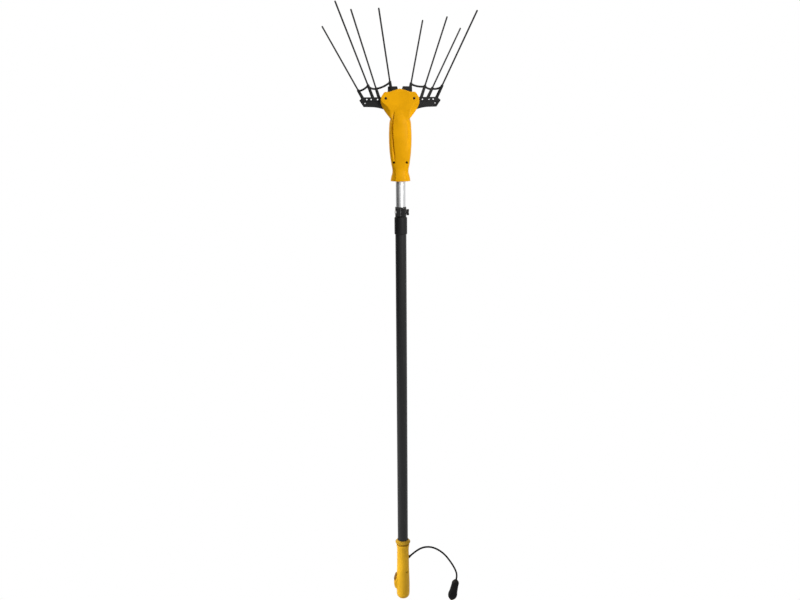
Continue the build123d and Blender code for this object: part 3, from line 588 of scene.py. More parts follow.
def switch_form(name, rows, around=96):
    """Closed form in the switch's own directions.

    Each row (half length, half width, height) is a superellipse ring; a row of
    no size is a pole that closes the form.
    """
    along = powered(np.cos(circle(around)), SWITCH_POWER)
    across = powered(np.sin(circle(around)), SWITCH_POWER)
    half, wide, height = np.array(rows, float).T[..., None]
    grid = (SWITCH_MID + (half * along)[..., None] * SWITCH_DOWN + height[..., None] * SWITCH_OUT
            + (wide * across)[..., None] * np.array([0.0, 1.0, 0.0]))
    return solid(name, [grid])


class HARVESTER_OT_handle(bpy.types.Operator):
    """Builds the two halves of the handle"""

    bl_idname = "harvester.handle"
    bl_label = "Handle halves"

    def execute(self, context):
        size = context.scene.harvester_sizes
        for name, side in (("left", -1), ("right", 1)):
            outer = handle_skin(side, size.seam / MM, 0.0)
            inner = handle_skin(side, size.seam / MM + side * LAP, size.grip_wall / MM)
            piece = shell("handle_" + name + "_half", outer, inner)
            if side < 0:
                half, wide = SWITCH_HALF + SWITCH_PLAY, SWITCH_WIDE + SWITCH_PLAY
                rows = [(0, 0, -22), (half, wide, -22), (half, wide, 20), (0, 0, 20)]
                cut(piece, [switch_form("opening", rows)])
            else:
                cut(piece, [drill(HANDLE_SEAT_R, (HANDLE_SEAT, y, z), (1, 0, 0))
                            for y, z in HANDLE_SCREWS])
            # The handle halves wear the head's yellow retuned for their light: painted light.
            stand_for(piece, "pole", "handle_yellow", "handle_" + name + "_shell")
        return {"FINISHED"}


COLLAR_SLEEVE = 8.6
COLLAR_LIP = 12.4
COLLAR_TOP = 2.4
COLLAR_SEAT = 4.0
COLLAR_PROUD = 1.3
LIP_R = 1.3
SLEEVE_WALL = 0.7
COLLAR_PLAY = 0.05


class HARVESTER_OT_collar(bpy.types.Operator):
    """Builds the collar that holds the handle's halves"""

    bl_idname = "harvester.collar"
    bl_label = "Collar"

    def execute(self, context):
        """Turned skirt: a hollow flare down to a rounded lip, then a sleeve down into the groove."""
        low, high = COLLAR_LOW[2] - COLLAR_SLEEVE, COLLAR_HIGH[2] - COLLAR_TOP
        lip, wide = COLLAR_HIGH[2] - COLLAR_LIP, COLLAR_HIGH[0] + COLLAR_PROUD
        seat = high - COLLAR_SEAT
        bore, sleeve = TUBE_R + COLLAR_PLAY, TUBE_R + SLEEVE_WALL
        height = np.linspace(high - 0.3, lip + 1.2, 24)
        flare = flow(height, [(lip + 1.0, wide - 0.25), (high - 4.9, TUBE_R + 3.2), (high, TUBE_R + 1.4)])
        profile = np.concatenate([
            [(bore, seat), (TUBE_R + 0.9, seat), (TUBE_R + 1.0, high - 0.4)],
            np.stack([flare, height], -1), arc((wide - LIP_R, lip), LIP_R, 45, -70, 10),
            [(wide - 3.2, lip - 1.5), (sleeve, lip - 1.6), (sleeve, low), (bore, low), (bore, seat)]])
        piece = settle(solid("collar_ring", [turned(profile, (0, 0, 0), UP, (1, 0, 0), 96)]), 40)
        # The collar wears a darkened copy of the handle's yellow: painted shade.
        stand_for(piece, "pole", "collar_yellow", "handle_collar")
        return {"FINISHED"}


class HARVESTER_OT_switch(bpy.types.Operator):
    """Builds the switch's bezel and its rocker"""

    bl_idname = "harvester.switch"
    bl_label = "Switch"

    def execute(self, context):
        half, wide = SWITCH_HALF, SWITCH_WIDE
        bezel = switch_form("switch_bezel", [
            (0, 0, -14), (half, wide, -14), (half, wide, 0.3), (half - 0.2, wide - 0.2, 0.65),
            (half - 0.6, wide - 0.6, 0.8), (WELL_HALF + 0.2, WELL_WIDE + 0.2, 0.8),
            (WELL_HALF, WELL_WIDE, 0.6), (WELL_HALF, WELL_WIDE, -7), (0, 0, -7)])
        stand_for(settle(bezel), "pole", "switch_brown", "switch_body")
        half, wide = ROCKER_HALF, ROCKER_WIDE
        part = np.linspace(0.97, 0.0, 14)
        face = np.stack([half * part, wide * part, ROCKER_TOP - ROCKER_FALL * part ** 4], -1)
        rocker = switch_form("rocker_button", [
            (0, 0, -4.5), (half - 0.4, wide, -4.5), (half, wide, -3.9), (half, wide, 2.0), *face])
        stand_for(settle(rocker), "rocker", "switch_brown", "switch_rocker")
        return {"FINISHED"}


# Lead in the pole


LEAD_WIRE = 1.5
LEAD_PITCH = 6.0


def coil_grid(low, high, outside, steps=14, around=7):
    """Tube round a helix on the pole's axis.

    One parameter climbs along the helix, so many steps a turn, and the other
    goes round the wire, outwards and upwards from its middle; the end rows
    close onto the middle line.
    """
    turns = (high - low - 2 * LEAD_WIRE) / LEAD_PITCH
    angle = np.linspace(0, 2 * pi * turns, int(turns * steps))
    round_wire = circle(around)
    wire = np.full(len(angle), LEAD_WIRE)
    wire[[0, -1]] = 0.0
    radius = outside - LEAD_WIRE + wire[:, None] * np.cos(round_wire)
    climb = low + LEAD_WIRE + LEAD_PITCH * angle / (2 * pi)
    height = climb[:, None] + wire[:, None] * np.sin(round_wire)
    return np.stack([radius * np.cos(angle)[:, None], radius * np.sin(angle)[:, None], height], -1)


class HARVESTER_OT_lead(bpy.types.Operator):
    """Builds the coiled lead in the pole at one length; the real lead stretches with its slide"""

    bl_idname = "harvester.lead"
    bl_label = "Lead in the pole"

    def execute(self, context):
        low, high = LEAD_LOW[2], LEAD_HIGH[2]
        piece = settle(solid("coiled_lead", [coil_grid(low, high, LEAD_HIGH[0])]), 60)
        piece.data.materials.append(finish("black_rubber"))
        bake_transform(piece)
        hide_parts("pole_lead")
        return {"FINISHED"}


# Rods: socket's mouth out and up from the pivots' height, splay and lean in degrees, free length


RODS = {
    "left": [(127.0, 26.5, 29.7, 18.7, 232.0), (96.1, 39.8, 21.0, -23.8, 255.0),
             (72.4, 31.6, 17.4, -16.0, 232.0), (30.1, 49.7, 8.4, -23.4, 213.0)],
    "right": [(127.2, 37.9, 25.3, -19.5, 232.0), (99.1, 32.8, 26.4, 34.8, 250.0),
              (76.3, 39.2, 18.7, 19.6, 232.0), (34.0, 46.3, 11.1, 23.4, 213.0)],
}
ROD_SOCKET = 26.0
INNER_ROOT = 20.0
STRUT_ROOT = 1.0


def rod_line(side, rod):
    """Socket floor, direction and length of a rod.

    The direction is upright, turned out by the splay and forwards or back by
    the lean; the lean starts at the root's height, in the comb's middle plane.
    """
    out, rise, splay, lean, free = rod
    root = INNER_ROOT if out < PIVOT[0] else STRUT_ROOT
    way = np.array([side * np.tan(radians(splay)), np.tan(radians(lean)), 1.0])
    mouth = np.array([side * out, way[1] * (rise - root), PIVOT[2] + rise])
    way /= np.linalg.norm(way)
    return mouth - way * ROD_SOCKET, way, ROD_SOCKET + free


class HARVESTER_OT_rods(bpy.types.Operator):
    """Builds the eight carbon rods of the two combs"""

    bl_idname = "harvester.rods"
    bl_label = "Carbon rods"

    def execute(self, context):
        radius = context.scene.harvester_sizes.rod / MM
        for side_name, side in (("left", -1), ("right", 1)):
            for number, rod in enumerate(RODS[side_name], 1):
                start, way, long = rod_line(side, rod)
                nose = arc((0.0, long - radius), radius, 0, 90, 10)
                height = np.linspace(0.3, long - radius - 0.2, 40)
                stem = np.stack([np.full_like(height, radius), height], -1)
                profile = np.concatenate([[(0, 0), (radius - 0.3, 0)], stem, nose])
                title = side_name + "_rod_" + str(number)
                grid = turned(profile, start, way, around=24)
                piece = settle(solid(title, [grid], uv=True), 50)
                stand_for(piece, side_name + "_comb", "carbon_rod",
                          side_name + "_tine_" + str(number))
        return {"FINISHED"}


# Screws: head radius, head height, shank radius and length; cross and dome are shares of the radius


NECK_SCREW = (3.3, 2.4, 2.0, 26.9)
PIVOT_SCREW = (3.6, 2.4, 2.0, 11.8)
HANDLE_SCREW = (2.9, 2.2, 1.6, 21.7)
PIVOT_FACE = 21.8
CROSS_ARM, CROSS_BAR, CROSS_SOFT, CROSS_DEEP = 0.56, 0.15, 0.06, 0.42
DOME = 0.16


def screw_grid(origin, way, side, head_r, head_high, shank_r, long):
    """Screw with a domed head and a cross recess, along way from its head's face.

    Head: height is a dome that falls with the square of the radius, less the
    cross, two crossed bars with soft walls. The rim rounds over to the head's
    side, then the underside and the shank follow as a turned profile.
    """
    way, first, second = frame_along(way, side)
    rings = np.concatenate([np.linspace(0, 0.62, 22), np.linspace(0.66, 0.9, 5)])[:, None] * head_r
    angle = circle(72)[None, :]
    x, y = rings * np.cos(angle), rings * np.sin(angle)
    arm, bar, soft = CROSS_ARM * head_r, CROSS_BAR * head_r, CROSS_SOFT * head_r

    def inside(u, v):
        return smooth((arm - np.abs(u)) / soft) * smooth((bar - np.abs(v)) / soft)

    cross = np.maximum(inside(x, y), inside(y, x))
    edge = DOME * head_r
    depth = edge * (rings / head_r) ** 2 + CROSS_DEEP * head_r * cross
    ring = np.cos(angle)[..., None] * first + np.sin(angle)[..., None] * second
    face = np.array(origin) + rings[..., None] * ring + depth[..., None] * way
    profile = np.array([(0.96 * head_r, edge * 1.25), (head_r, edge * 2.2), (head_r, head_high),
                        (shank_r, head_high), (shank_r, long - 1.0), (shank_r * 0.5, long), (0, long)])
    radius, height = profile.T[..., None, None]
    return np.concatenate([face, np.array(origin) + radius * ring + height * way])


class HARVESTER_OT_fasteners(bpy.types.Operator):
    """Builds the screws of the head, the pivots and the handle"""

    bl_idname = "harvester.fasteners"
    bl_label = "Screws"

    def execute(self, context):
        neck = [screw_grid((x, NECK_SEAT - NECK_SCREW[1], z), (0, 1, 0), (0.9, 0, 0.4), *NECK_SCREW)
                for x, z in NECK_SCREWS]
        pivot = [screw_grid((x, end * PIVOT_FACE, PIVOT[2]), (0, -end, 0), (0.7, 0, 0.6), *PIVOT_SCREW)
                 for x in (-PIVOT[0], PIVOT[0]) for end in (-1, 1)]
        rise = HANDLE_SEAT + HANDLE_SCREW[1]
        handle = [screw_grid((rise, y, z), (-1, 0, 0), (0, 0.5, 0.8), *HANDLE_SCREW)
                  for y, z in HANDLE_SCREWS]
        for title, body, node, grids in (("neck_screw_set", "head", "head_screws", neck),
                                         ("pivot_screw_set", "head", "pivot_screws", pivot),
                                         ("handle_screw_set", "pole", "handle_screws", handle)):
            stand_for(settle(solid(title, grids), 38), body, "blackened_steel", node)
        return {"FINISHED"}


# Supply lead: its route is in metres, the plug's stations are (share, half depth, half width)


CABLE_ROUTE = [(0.02835, 0, 0.02278), (0.048195, 0, 0.041086), (0.072, 0, 0.0535), (0.099, 0, 0.054),
               (0.124, 0, 0.0425), (0.147, 0, 0.023), (0.166, 0, -0.004), (0.1815, 0, -0.031),
               (0.190, 0, -0.057), (0.1864, 0, -0.0746)]
PLUG = [(0.0, 4.5, 4.5), (0.1, 8.4, 11.0), (0.28, 9.4, 12.4), (0.57, 10.4, 14.0), (0.76, 11.0, 15.8),
        (0.89, 9.4, 13.4), (1.0, 5.0, 6.0)]
PLUG_LENGTH = 79.0
PLUG_POWER = 2.4
RIB_HIGH = 0.55
RIB_LOW, RIB_END, RIB_PITCH, RIB_FADE = 0.3, 0.68, 0.0633, 0.06
GLAND = [(0, -7), (4.3, -7), (4.3, 1.0), (4.1, 2.2), (3.9, 3.4), (4.0, 4.2), (3.7, 5.2), (3.6, 6.2),
         (3.7, 7.0), (3.4, 8.0), (3.35, 9.2), (3.1, 10.0), (0, 10.0)]
GLAND_MID = np.array([21.0, 0.0, 16.0])
GLAND_WAY = np.array([0.735, 0.0, 0.678])


def plug_grid(rows=110, columns=72):
    """Moulded plug: superellipses along its axis, with shallow finger ribs.

    Half depth and half width flow through the stations; the ribs add a raised
    cosine along the middle of the length, strongest on the two broad faces.
    Both ends close onto the axis.
    """
    start, before = np.array(CABLE_ROUTE[-1]) / MM, np.array(CABLE_ROUTE[-2]) / MM
    way, deep_way, wide_way = frame_along(start - before, (0, 1, 0))
    t = np.linspace(0, 1, rows)[:, None]
    stations = np.array(PLUG)
    deep = flow(t, stations[:, [0, 1]])
    wide = flow(t, stations[:, [0, 2]])
    angle = circle(columns)[None, :]
    c, s = np.cos(angle), np.sin(angle)
    span = smooth((t - RIB_LOW) / RIB_FADE) * smooth((RIB_END - t) / RIB_FADE)
    wave = 0.5 - 0.5 * np.cos(2 * pi * (t - RIB_LOW) / RIB_PITCH)
    ribs = RIB_HIGH * wave * span * smooth((np.abs(c) - 0.3) / 0.4)
    x = (deep + ribs) * powered(c, PLUG_POWER)
    y = wide * powered(s, PLUG_POWER)
    body = (start + x[..., None] * deep_way + y[..., None] * wide_way
            + (t * PLUG_LENGTH * np.ones_like(angle))[..., None] * way)
    tail = np.broadcast_to(start, body[:1].shape)
    nose = np.broadcast_to(start + way * PLUG_LENGTH, body[:1].shape)
    return np.concatenate([tail, body, nose])


class HARVESTER_OT_supply(bpy.types.Operator):
    """Builds the supply cable with its gland and plug"""

    bl_idname = "harvester.supply"
    bl_label = "Supply cable and plug"

    def execute(self, context):
        size = context.scene.harvester_sizes
        curve = bpy.data.curves.new("supply_lead", "CURVE")
        curve.dimensions = "3D"
        spline = curve.splines.new("NURBS")
        spline.points.add(len(CABLE_ROUTE) - 1)
        spline.points.foreach_set("co", np.array([(*point, 1.0) for point in CABLE_ROUTE]).ravel())
        spline.order_u = 3
        spline.use_endpoint_u = True
        spline.resolution_u = 16
        curve.bevel_depth = size.cable / 2
        curve.bevel_resolution = 7
        curve.use_fill_caps = True
        lead = place("supply_lead", curve)
        stand_for(lead, "pole", "cable_rubber", "supply_cable")
        plug = settle(solid("plug_body", [plug_grid()]), 60)
        stand_for(plug, "pole", "plug_rubber", "supply_plug")
        boot = settle(solid("cable_boot", [turned(GLAND, GLAND_MID, GLAND_WAY, around=40)]), 50)
        stand_for(boot, "pole", "plug_rubber", "cable_gland")
        return {"FINISHED"}


# Finishes


SETTINGS = {"samples": "samples", "operation": "operation", "group": "node_tree"}


def feed(tree, sockets, values):
    """Links each socket, by name or number, to another one, or sets its constant."""
    for key, value in values.items():
        if isinstance(value, bpy.types.NodeSocket):
            tree.links.new(value, sockets[key])
        else:
            sockets[key].default_value = value


def add(tree, kind, **values):
    """New node; values set its settings, and feed its sockets by name."""
    node = tree.nodes.new("ShaderNode" + kind)
    for name, value in values.items():
        if name in SETTINGS:
            setattr(node, SETTINGS[name], value)
        else:
            feed(tree, node.inputs, {name.replace("_", " "): value})
    return node


def math(tree, operation, a, b, clamp=False):
    node = add(tree, "Math", operation=operation)
    node.use_clamp = clamp
    feed(tree, node.inputs, {0: a, 1: b})
    return node.outputs[0]


def times(tree, a, b):
    return math(tree, "MULTIPLY", a, b)


def between(tree, value, low, high, to_low=0.0, to_high=1.0):
    """Value moved from one range to another, held at the ends."""
    return add(tree, "MapRange", Value=value, From_Min=low, From_Max=high, To_Min=to_low,
               To_Max=to_high).outputs[0]


def mix(tree, share, a, b):
    """Colour mix; a and b are colours or sockets."""
    node = tree.nodes.new("ShaderNodeMix")
    node.data_type = "RGBA"
    feed(tree, node.inputs, {0: share, 6: a, 7: b})
    return node.outputs[2]


def noise(tree, where, scale, detail=2.0, roughness=0.5):
    node = add(tree, "TexNoise", Vector=where, Scale=scale, Detail=detail, Roughness=roughness)
    return node.outputs[0]


def stretched(tree, where, scale, turn=(0.0, 0.0, 0.0)):
    """Coordinates scaled along the axes, after a turn."""
    return add(tree, "Mapping", Vector=where, Scale=scale, Rotation=turn).outputs[0]


def new_group(name, inputs, outputs):
    """Shader group; inputs without a default, and normals, are vectors, and the rest are numbers."""
    tree = bpy.data.node_groups.new(name, "ShaderNodeTree")
    for title, value in inputs.items():
        kind = "NodeSocketVector" if value is None else "NodeSocketFloat"
        socket = tree.interface.new_socket(name=title, in_out="INPUT", socket_type=kind)
        if value is not None:
            socket.default_value = value
    for title in outputs:
        kind = "NodeSocketVector" if title == "Normal" else "NodeSocketFloat"
        tree.interface.new_socket(name=title, in_out="OUTPUT", socket_type=kind)
    start = tree.nodes.new("NodeGroupInput")
    end = tree.nodes.new("NodeGroupOutput")
    return tree, start.outputs, end.inputs


def grain_group():
    """Moulded skin: a fine grain, a slow change of tone and a few faint scuffs."""
    tree, start, end = new_group("Moulded grain", {"Vector": None, "Scale": 900.0},
                                 ("Grain", "Tone", "Scuff"))
    where = start["Vector"]
    slanted = stretched(tree, where, (1.0, 0.8, 7.0), (0.5, 0.9, 0.3))
    feed(tree, end, {"Grain": noise(tree, where, start["Scale"], 3.0, 0.6),
                     "Tone": noise(tree, where, 14.0, 4.0, 0.55),
                     "Scuff": between(tree, noise(tree, slanted, 60.0), 0.62, 0.72)})
    return tree


def edge_group():
    """Worn edges: where a rounded normal leaves the true one, broken up by noise, and that normal."""
    tree, start, end = new_group("Worn edges", {"Vector": None, "Radius": 0.0008}, ("Mask", "Normal"))
    soft = add(tree, "Bevel", samples=4, Radius=start["Radius"]).outputs[0]
    true = tree.nodes.new("ShaderNodeNewGeometry").outputs["Normal"]
    dot = add(tree, "VectorMath", operation="DOT_PRODUCT")
    feed(tree, dot.inputs, {0: soft, 1: true})
    edge = between(tree, dot.outputs["Value"], 0.985, 0.86)
    broken = between(tree, noise(tree, start["Vector"], 220.0, 3.0, 0.65), 0.42, 0.62)
    feed(tree, end, {"Mask": times(tree, edge, broken), "Normal": soft})
    return tree


def dust_group():
    """Dust: a thin film on faces that look up, gathered in patches."""
    tree, start, end = new_group("Settled dust", {"Vector": None}, ("Mask",))
    true = tree.nodes.new("ShaderNodeNewGeometry").outputs["Normal"]
    up = between(tree, add(tree, "SeparateXYZ", Vector=true).outputs["Z"], 0.15, 1.0)
    film = between(tree, noise(tree, start["Vector"], 75.0, 5.0, 0.7), 0.4, 0.75, 0.2, 1.0)
    feed(tree, end, {"Mask": times(tree, up, film)})
    return tree


def drawn_group():
    """Drawn tube: fine lines along the upright axis and rare longer scratches."""
    tree, start, end = new_group("Drawn lines", {"Vector": None}, ("Lines", "Scratch"))
    fine = stretched(tree, start["Vector"], (1.0, 1.0, 0.006))
    long = stretched(tree, start["Vector"], (1.0, 1.0, 0.05))
    feed(tree, end, {"Lines": noise(tree, fine, 1500.0, 2.0, 0.6),
                     "Scratch": between(tree, noise(tree, long, 420.0, 1.0, 0.4), 0.70, 0.76)})
    return tree


GROUPS = {"grain": grain_group, "edge": edge_group, "dust": dust_group, "drawn": drawn_group}
built_groups = {}


def effect(tree, name, **values):
    """Outputs of a shader group, built once and placed with its own values."""
    if name not in built_groups:
        built_groups[name] = GROUPS[name]()
    return add(tree, "Group", group=built_groups[name], **values).outputs


# Colour, wear colour, metallic, roughness low and high, grain scale, grain height, edge radius
PLAIN = {
    "head_yellow": ("head", (0.84, 0.46, 0.03), 0.0, 0.30, 0.46, 1300, 0.10, 0.0007),
    # The handle's entry is the head's yellow plastic with a colour retuned for the handle's light:
    # painted light.
    "handle_yellow": ("handle", (0.76, 0.40, 0.04), 0.0, 0.34, 0.50, 1300, 0.12, 0.0007),
    # The collar's entry is the handle's yellow darkened: painted shade for the shade on its lip, groove
    # and edges.
    "collar_yellow": ((0.46, 0.26, 0.014), (0.46, 0.25, 0.03), 0.0, 0.26, 0.40, 1300, 0.10, 0.0006),
    "black_nylon": ("nylon", (0.045, 0.045, 0.045), 0.0, 0.40, 0.62, 1100, 0.25, 0.0008),
    "switch_brown": ("switch", (0.24, 0.13, 0.03), 0.0, 0.34, 0.5, 1000, 0.12, 0.0006),
    "plug_rubber": ("rubber", (0.030, 0.030, 0.031), 0.0, 0.5, 0.72, 1200, 0.25, 0.0006),
    "cable_rubber": ("rubber", (0.016, 0.016, 0.017), 0.0, 0.55, 0.72, 1500, 0.12, 0.0004),
    "black_rubber": ("rubber", (0.030, 0.030, 0.031), 0.0, 0.5, 0.72, 1200, 0.25, 0.0006),
    "grey_plastic": ((0.16, 0.165, 0.17), (0.3, 0.3, 0.3), 0.0, 0.4, 0.58, 1100, 0.2, 0.0006),
    "steel": ((0.52, 0.525, 0.53), (0.75, 0.75, 0.75), 1.0, 0.22, 0.42, 900, 0.1, 0.0005),
    "blackened_steel": ((0.03, 0.02, 0.012), (0.1, 0.08, 0.06), 0.35, 0.45, 0.6, 900, 0.15, 0.0004),
    "motor_steel": ((0.42, 0.425, 0.43), (0.6, 0.6, 0.6), 1.0, 0.3, 0.5, 700, 0.1, 0.0005),
    "magnet": ((0.07, 0.068, 0.066), (0.2, 0.2, 0.2), 0.3, 0.5, 0.7, 1300, 0.3, 0.0005),
    "copper": ((0.72, 0.30, 0.13), (0.9, 0.5, 0.3), 1.0, 0.25, 0.45, 900, 0.1, 0.0004),
    "bronze": ((0.46, 0.29, 0.12), (0.66, 0.46, 0.22), 1.0, 0.35, 0.55, 800, 0.2, 0.0005),
    "carbon_brush": ((0.02, 0.02, 0.021), (0.06, 0.06, 0.06), 0.1, 0.5, 0.7, 1200, 0.3, 0.0004),
    "brass_contact": ((0.66, 0.45, 0.14), (0.85, 0.66, 0.3), 1.0, 0.22, 0.4, 900, 0.1, 0.0004),
}
DUSTY = {"head_yellow": 0.05, "handle_yellow": 0.06, "black_nylon": 0.12, "plug_rubber": 0.10,
         "black_rubber": 0.10, "cable_rubber": 0.05}
WORN = {"head_yellow": 0.2, "handle_yellow": 0.15, "black_nylon": 0.6, "switch_brown": 0.5}
GLOSS = 0.2
SHEEN = {"head_yellow": 0.05, "handle_yellow": 0.12, "collar_yellow": 0.1, "cable_rubber": 0.03,
         "plug_rubber": 0.1}
FULL_GLOSS = 0.5
TONE_DARK, TONE_LIGHT = 0.86, 1.07
LIGHT_FIBRE = 2.4
EDGE_WEAR, TUBE_WEAR, TUBE_SCRATCH = 0.35, 0.6, 0.35
DUST_ROUGH, SCUFF_ROUGH = 0.6, 0.07
DUST_COLOUR = (0.42, 0.38, 0.30, 1.0)
BARE_EDGE = (0.5, 0.5, 0.51, 1.0)
# Colour, tones of its lines, scratch colour, roughness low and high, metallic, specular level
TUBES = {
    "bright_tube": ("bright", (0.90, 1.04), (0.62, 0.63, 0.64, 1.0), (0.31, 0.44), 1.0, FULL_GLOSS),
    "black_tube": ("tube", (0.72, 1.25), (0.07, 0.07, 0.072, 1.0), (0.34, 0.48), 0.0, GLOSS),
}


def rgba(value, gain=1.0):
    """Colour of a finish, its own or a named one of the user's, made lighter or darker."""
    if isinstance(value, str):
        value = getattr(bpy.context.scene.harvester_colours, value)
    return (*(min(1.0, gain * part) for part in value), 1.0)


def new_material(name):
    """Material with one shader; gives its tree, the shader and the texture coordinates too."""
    material = bpy.data.materials.new(name)
    material.use_nodes = True
    tree = material.node_tree
    tree.nodes.clear()
    end = tree.nodes.new("ShaderNodeOutputMaterial")
    shader = tree.nodes.new("ShaderNodeBsdfPrincipled")
    tree.links.new(shader.outputs[0], end.inputs[0])
    return material, tree, shader, tree.nodes.new("ShaderNodeTexCoord").outputs


def relief(tree, height, strength, distance, **under):
    """Normal bent by a height, over the normal that is given."""
    return add(tree, "Bump", Height=height, Strength=strength, Distance=distance, **under).outputs[0]


def dress(tree, shader, colour, rough, gloss, metallic=0.0, normal=None):
    """Feeds a shader's colour, roughness, gloss, metal share and normal."""
    feed(tree, shader.inputs, {"Base Color": colour, "Roughness": rough, "Specular IOR Level": gloss,
                               "Metallic": metallic})
    if normal:
        tree.links.new(normal, shader.inputs["Normal"])


def plain_finish(name):
    """Moulded, rubber or turned finish: toned colour, worn edges, dust on top and a fine grain."""
    colour, wear, metallic, low, high, scale, height, radius = PLAIN[name]
    material, tree, shader, place_of = new_material(name)
    where = place_of["Object"]
    grain = effect(tree, "grain", Vector=where, Scale=float(scale))
    edge = effect(tree, "edge", Vector=where, Radius=radius)
    share = between(tree, grain["Tone"], 0.35, 0.68)
    tone = mix(tree, share, rgba(colour, TONE_DARK), rgba(colour, TONE_LIGHT))
    worn = mix(tree, times(tree, edge["Mask"], WORN.get(name, EDGE_WEAR)), tone, rgba(wear))
    rough = between(tree, grain["Tone"], 0.3, 0.7, low, high)
    if name in DUSTY:
        dust = times(tree, effect(tree, "dust", Vector=where)["Mask"], DUSTY[name])
        worn = mix(tree, dust, worn, DUST_COLOUR)
        rough = math(tree, "ADD", rough, times(tree, dust, DUST_ROUGH), clamp=True)
    rough = math(tree, "ADD", rough, times(tree, grain["Scuff"], SCUFF_ROUGH), clamp=True)
    gloss = FULL_GLOSS if metallic > 0.5 else SHEEN.get(name, GLOSS)
    bent = relief(tree, grain["Grain"], height, 0.0004, Normal=edge["Normal"])
    dress(tree, shader, worn, rough, gloss, metallic, bent)
    return material


def tube_finish(name):
    """Drawn tube: lengthwise lines in tone, roughness and relief, with a few lighter scratches."""
    colour, (dark, light), mark, (low, high), metallic, gloss = TUBES[name]
    material, tree, shader, place_of = new_material(name)
    where = place_of["Object"]
    drawn = effect(tree, "drawn", Vector=where)
    grain = effect(tree, "grain", Vector=where, Scale=700.0)
    edge = effect(tree, "edge", Vector=where, Radius=0.0006)
    share = between(tree, drawn["Lines"], 0.3, 0.7)
    tone = mix(tree, share, rgba(colour, dark), rgba(colour, light))
    worn = mix(tree, times(tree, drawn["Scratch"], TUBE_SCRATCH), tone, mark)
    worn = mix(tree, times(tree, edge["Mask"], TUBE_WEAR), worn, BARE_EDGE)
    rough = between(tree, share, 0.0, 1.0, low, high)
    rough = math(tree, "ADD", rough, between(tree, grain["Tone"], 0.3, 0.7, -0.03, 0.05), clamp=True)
    bent = relief(tree, drawn["Lines"], 0.12, 0.0003, Normal=edge["Normal"])
    dress(tree, shader, worn, rough, gloss, metallic, bent)
    return material


def rod_finish(name):
    """Pultruded rod: fibres along its own length, from its UV map, in tone, roughness and relief."""
    material, tree, shader, place_of = new_material(name)
    fibre = noise(tree, stretched(tree, place_of["UV"], (60.0, 2.2, 1.0)), 1.0, 4.0, 0.65)
    share = between(tree, fibre, 0.34, 0.68)
    tone = mix(tree, share, rgba("rod"), rgba("rod", LIGHT_FIBRE))
    rough = between(tree, share, 0.0, 1.0, 0.30, 0.44)
    dress(tree, shader, tone, rough, GLOSS, normal=relief(tree, fibre, 0.25, 0.0002))
    return material


MADE = {"black_tube": tube_finish, "bright_tube": tube_finish, "carbon_rod": rod_finish}
# Finish of a packed slot whose nodes all have new pieces that stand for them
PACKED = {"yellow_shell": "head_yellow"}


def finish(name):
    """Material of a finish, built once."""
    title = "finish_" + name
    if title not in bpy.data.materials:
        MADE.get(name, plain_finish)(name).name = title
    return bpy.data.materials[title]


class HARVESTER_OT_finishes(bpy.types.Operator):
    """Gives every piece that keeps its packed form its finish"""

    bl_idname = "harvester.finishes"
    bl_label = "Finishes"

    def execute(self, context):
        for name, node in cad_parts.items():
            slot = node.data.materials[0].name.split(".")[0]
            slot = PACKED.get(slot, slot)
            if slot not in PLAIN and slot not in MADE:
                raise RuntimeError("no finish for " + name + ": " + slot)
            node.data.materials[0] = finish(slot)
        return {"FINISHED"}


# Stage


EYE = (-0.00417, -2.2711, 1.440)
LENS = 32.602
TILT = 77.432
ROLL = -0.398
FLOOR = -0.75
LAMP_COLOUR = (1.0, 0.985, 0.96)
# Place, aim, size, power, spread in degrees
LAMPS = {
    "key": ((1.0, -1.38, 1.8), (0.0, 0.0, 1.45), (0.7, 0.9), 9.0, 110.0),
    "side": ((-1.3, -0.5, 0.6), (0.0, 0.0, -0.03), (0.4, 0.5), 4.2, 80.0),
    "rim": ((-1.2, 0.8, 1.9), (0.0, 0.0, 1.42), (0.4, 0.6), 16.5, 180.0),
    "top": ((0.0, 0.5, 2.6), (0.0, 0.0, 1.2), (1.2, 1.2), 6.0, 180.0),
}
UNMIRRORED = ("rim",)
WHITE = (1.0, 1.0, 1.0, 1.0)
SOFT_SKY = 0.42
FLOOR_RINGS = (0.0, 300.0, 800.0, 1600.0, 3000.0, 6000.0)
SHADE_IN, SHADE_OUT, SHADE_LEAST = 0.80, 1.05, 0.7
FLAG_X, FLAG_Y, FLAG_Z = -800.0, (-1600.0, 400.0), (600.0, 1500.0)


def lamp(name, place_at, aim, size, power, spread):
    """Soft box that shines from a place at an aim, within its spread in degrees."""
    data = bpy.data.lights.new(name, "AREA")
    data.shape = "RECTANGLE"
    data.size, data.size_y = size
    data.energy = power
    data.color = LAMP_COLOUR
    data.spread = radians(spread)
    light = bpy.data.objects.new(name, data)
    light.location = place_at
    light.rotation_euler = (Vector(aim) - Vector(place_at)).to_track_quat("-Z", "Y").to_euler()
    light.visible_glossy = name not in UNMIRRORED
    bpy.context.scene.collection.objects.link(light)


def seen_rays(tree):
    """1 for rays of the eye, of mirrors and of clear things, and 0 for the rest."""
    rays = tree.nodes.new("ShaderNodeLightPath").outputs
    seen = math(tree, "MAXIMUM", rays["Is Camera Ray"], rays["Is Glossy Ray"])
    return math(tree, "MAXIMUM", seen, rays["Is Transmission Ray"])


def blend_shaders(tree, share, first, second, end):
    """Ends a tree with a mix of two shaders."""
    both = tree.nodes.new("ShaderNodeMixShader")
    feed(tree, both.inputs, {0: share, 1: first.outputs[0], 2: second.outputs[0]})
    tree.links.new(both.outputs[0], end.inputs[0])


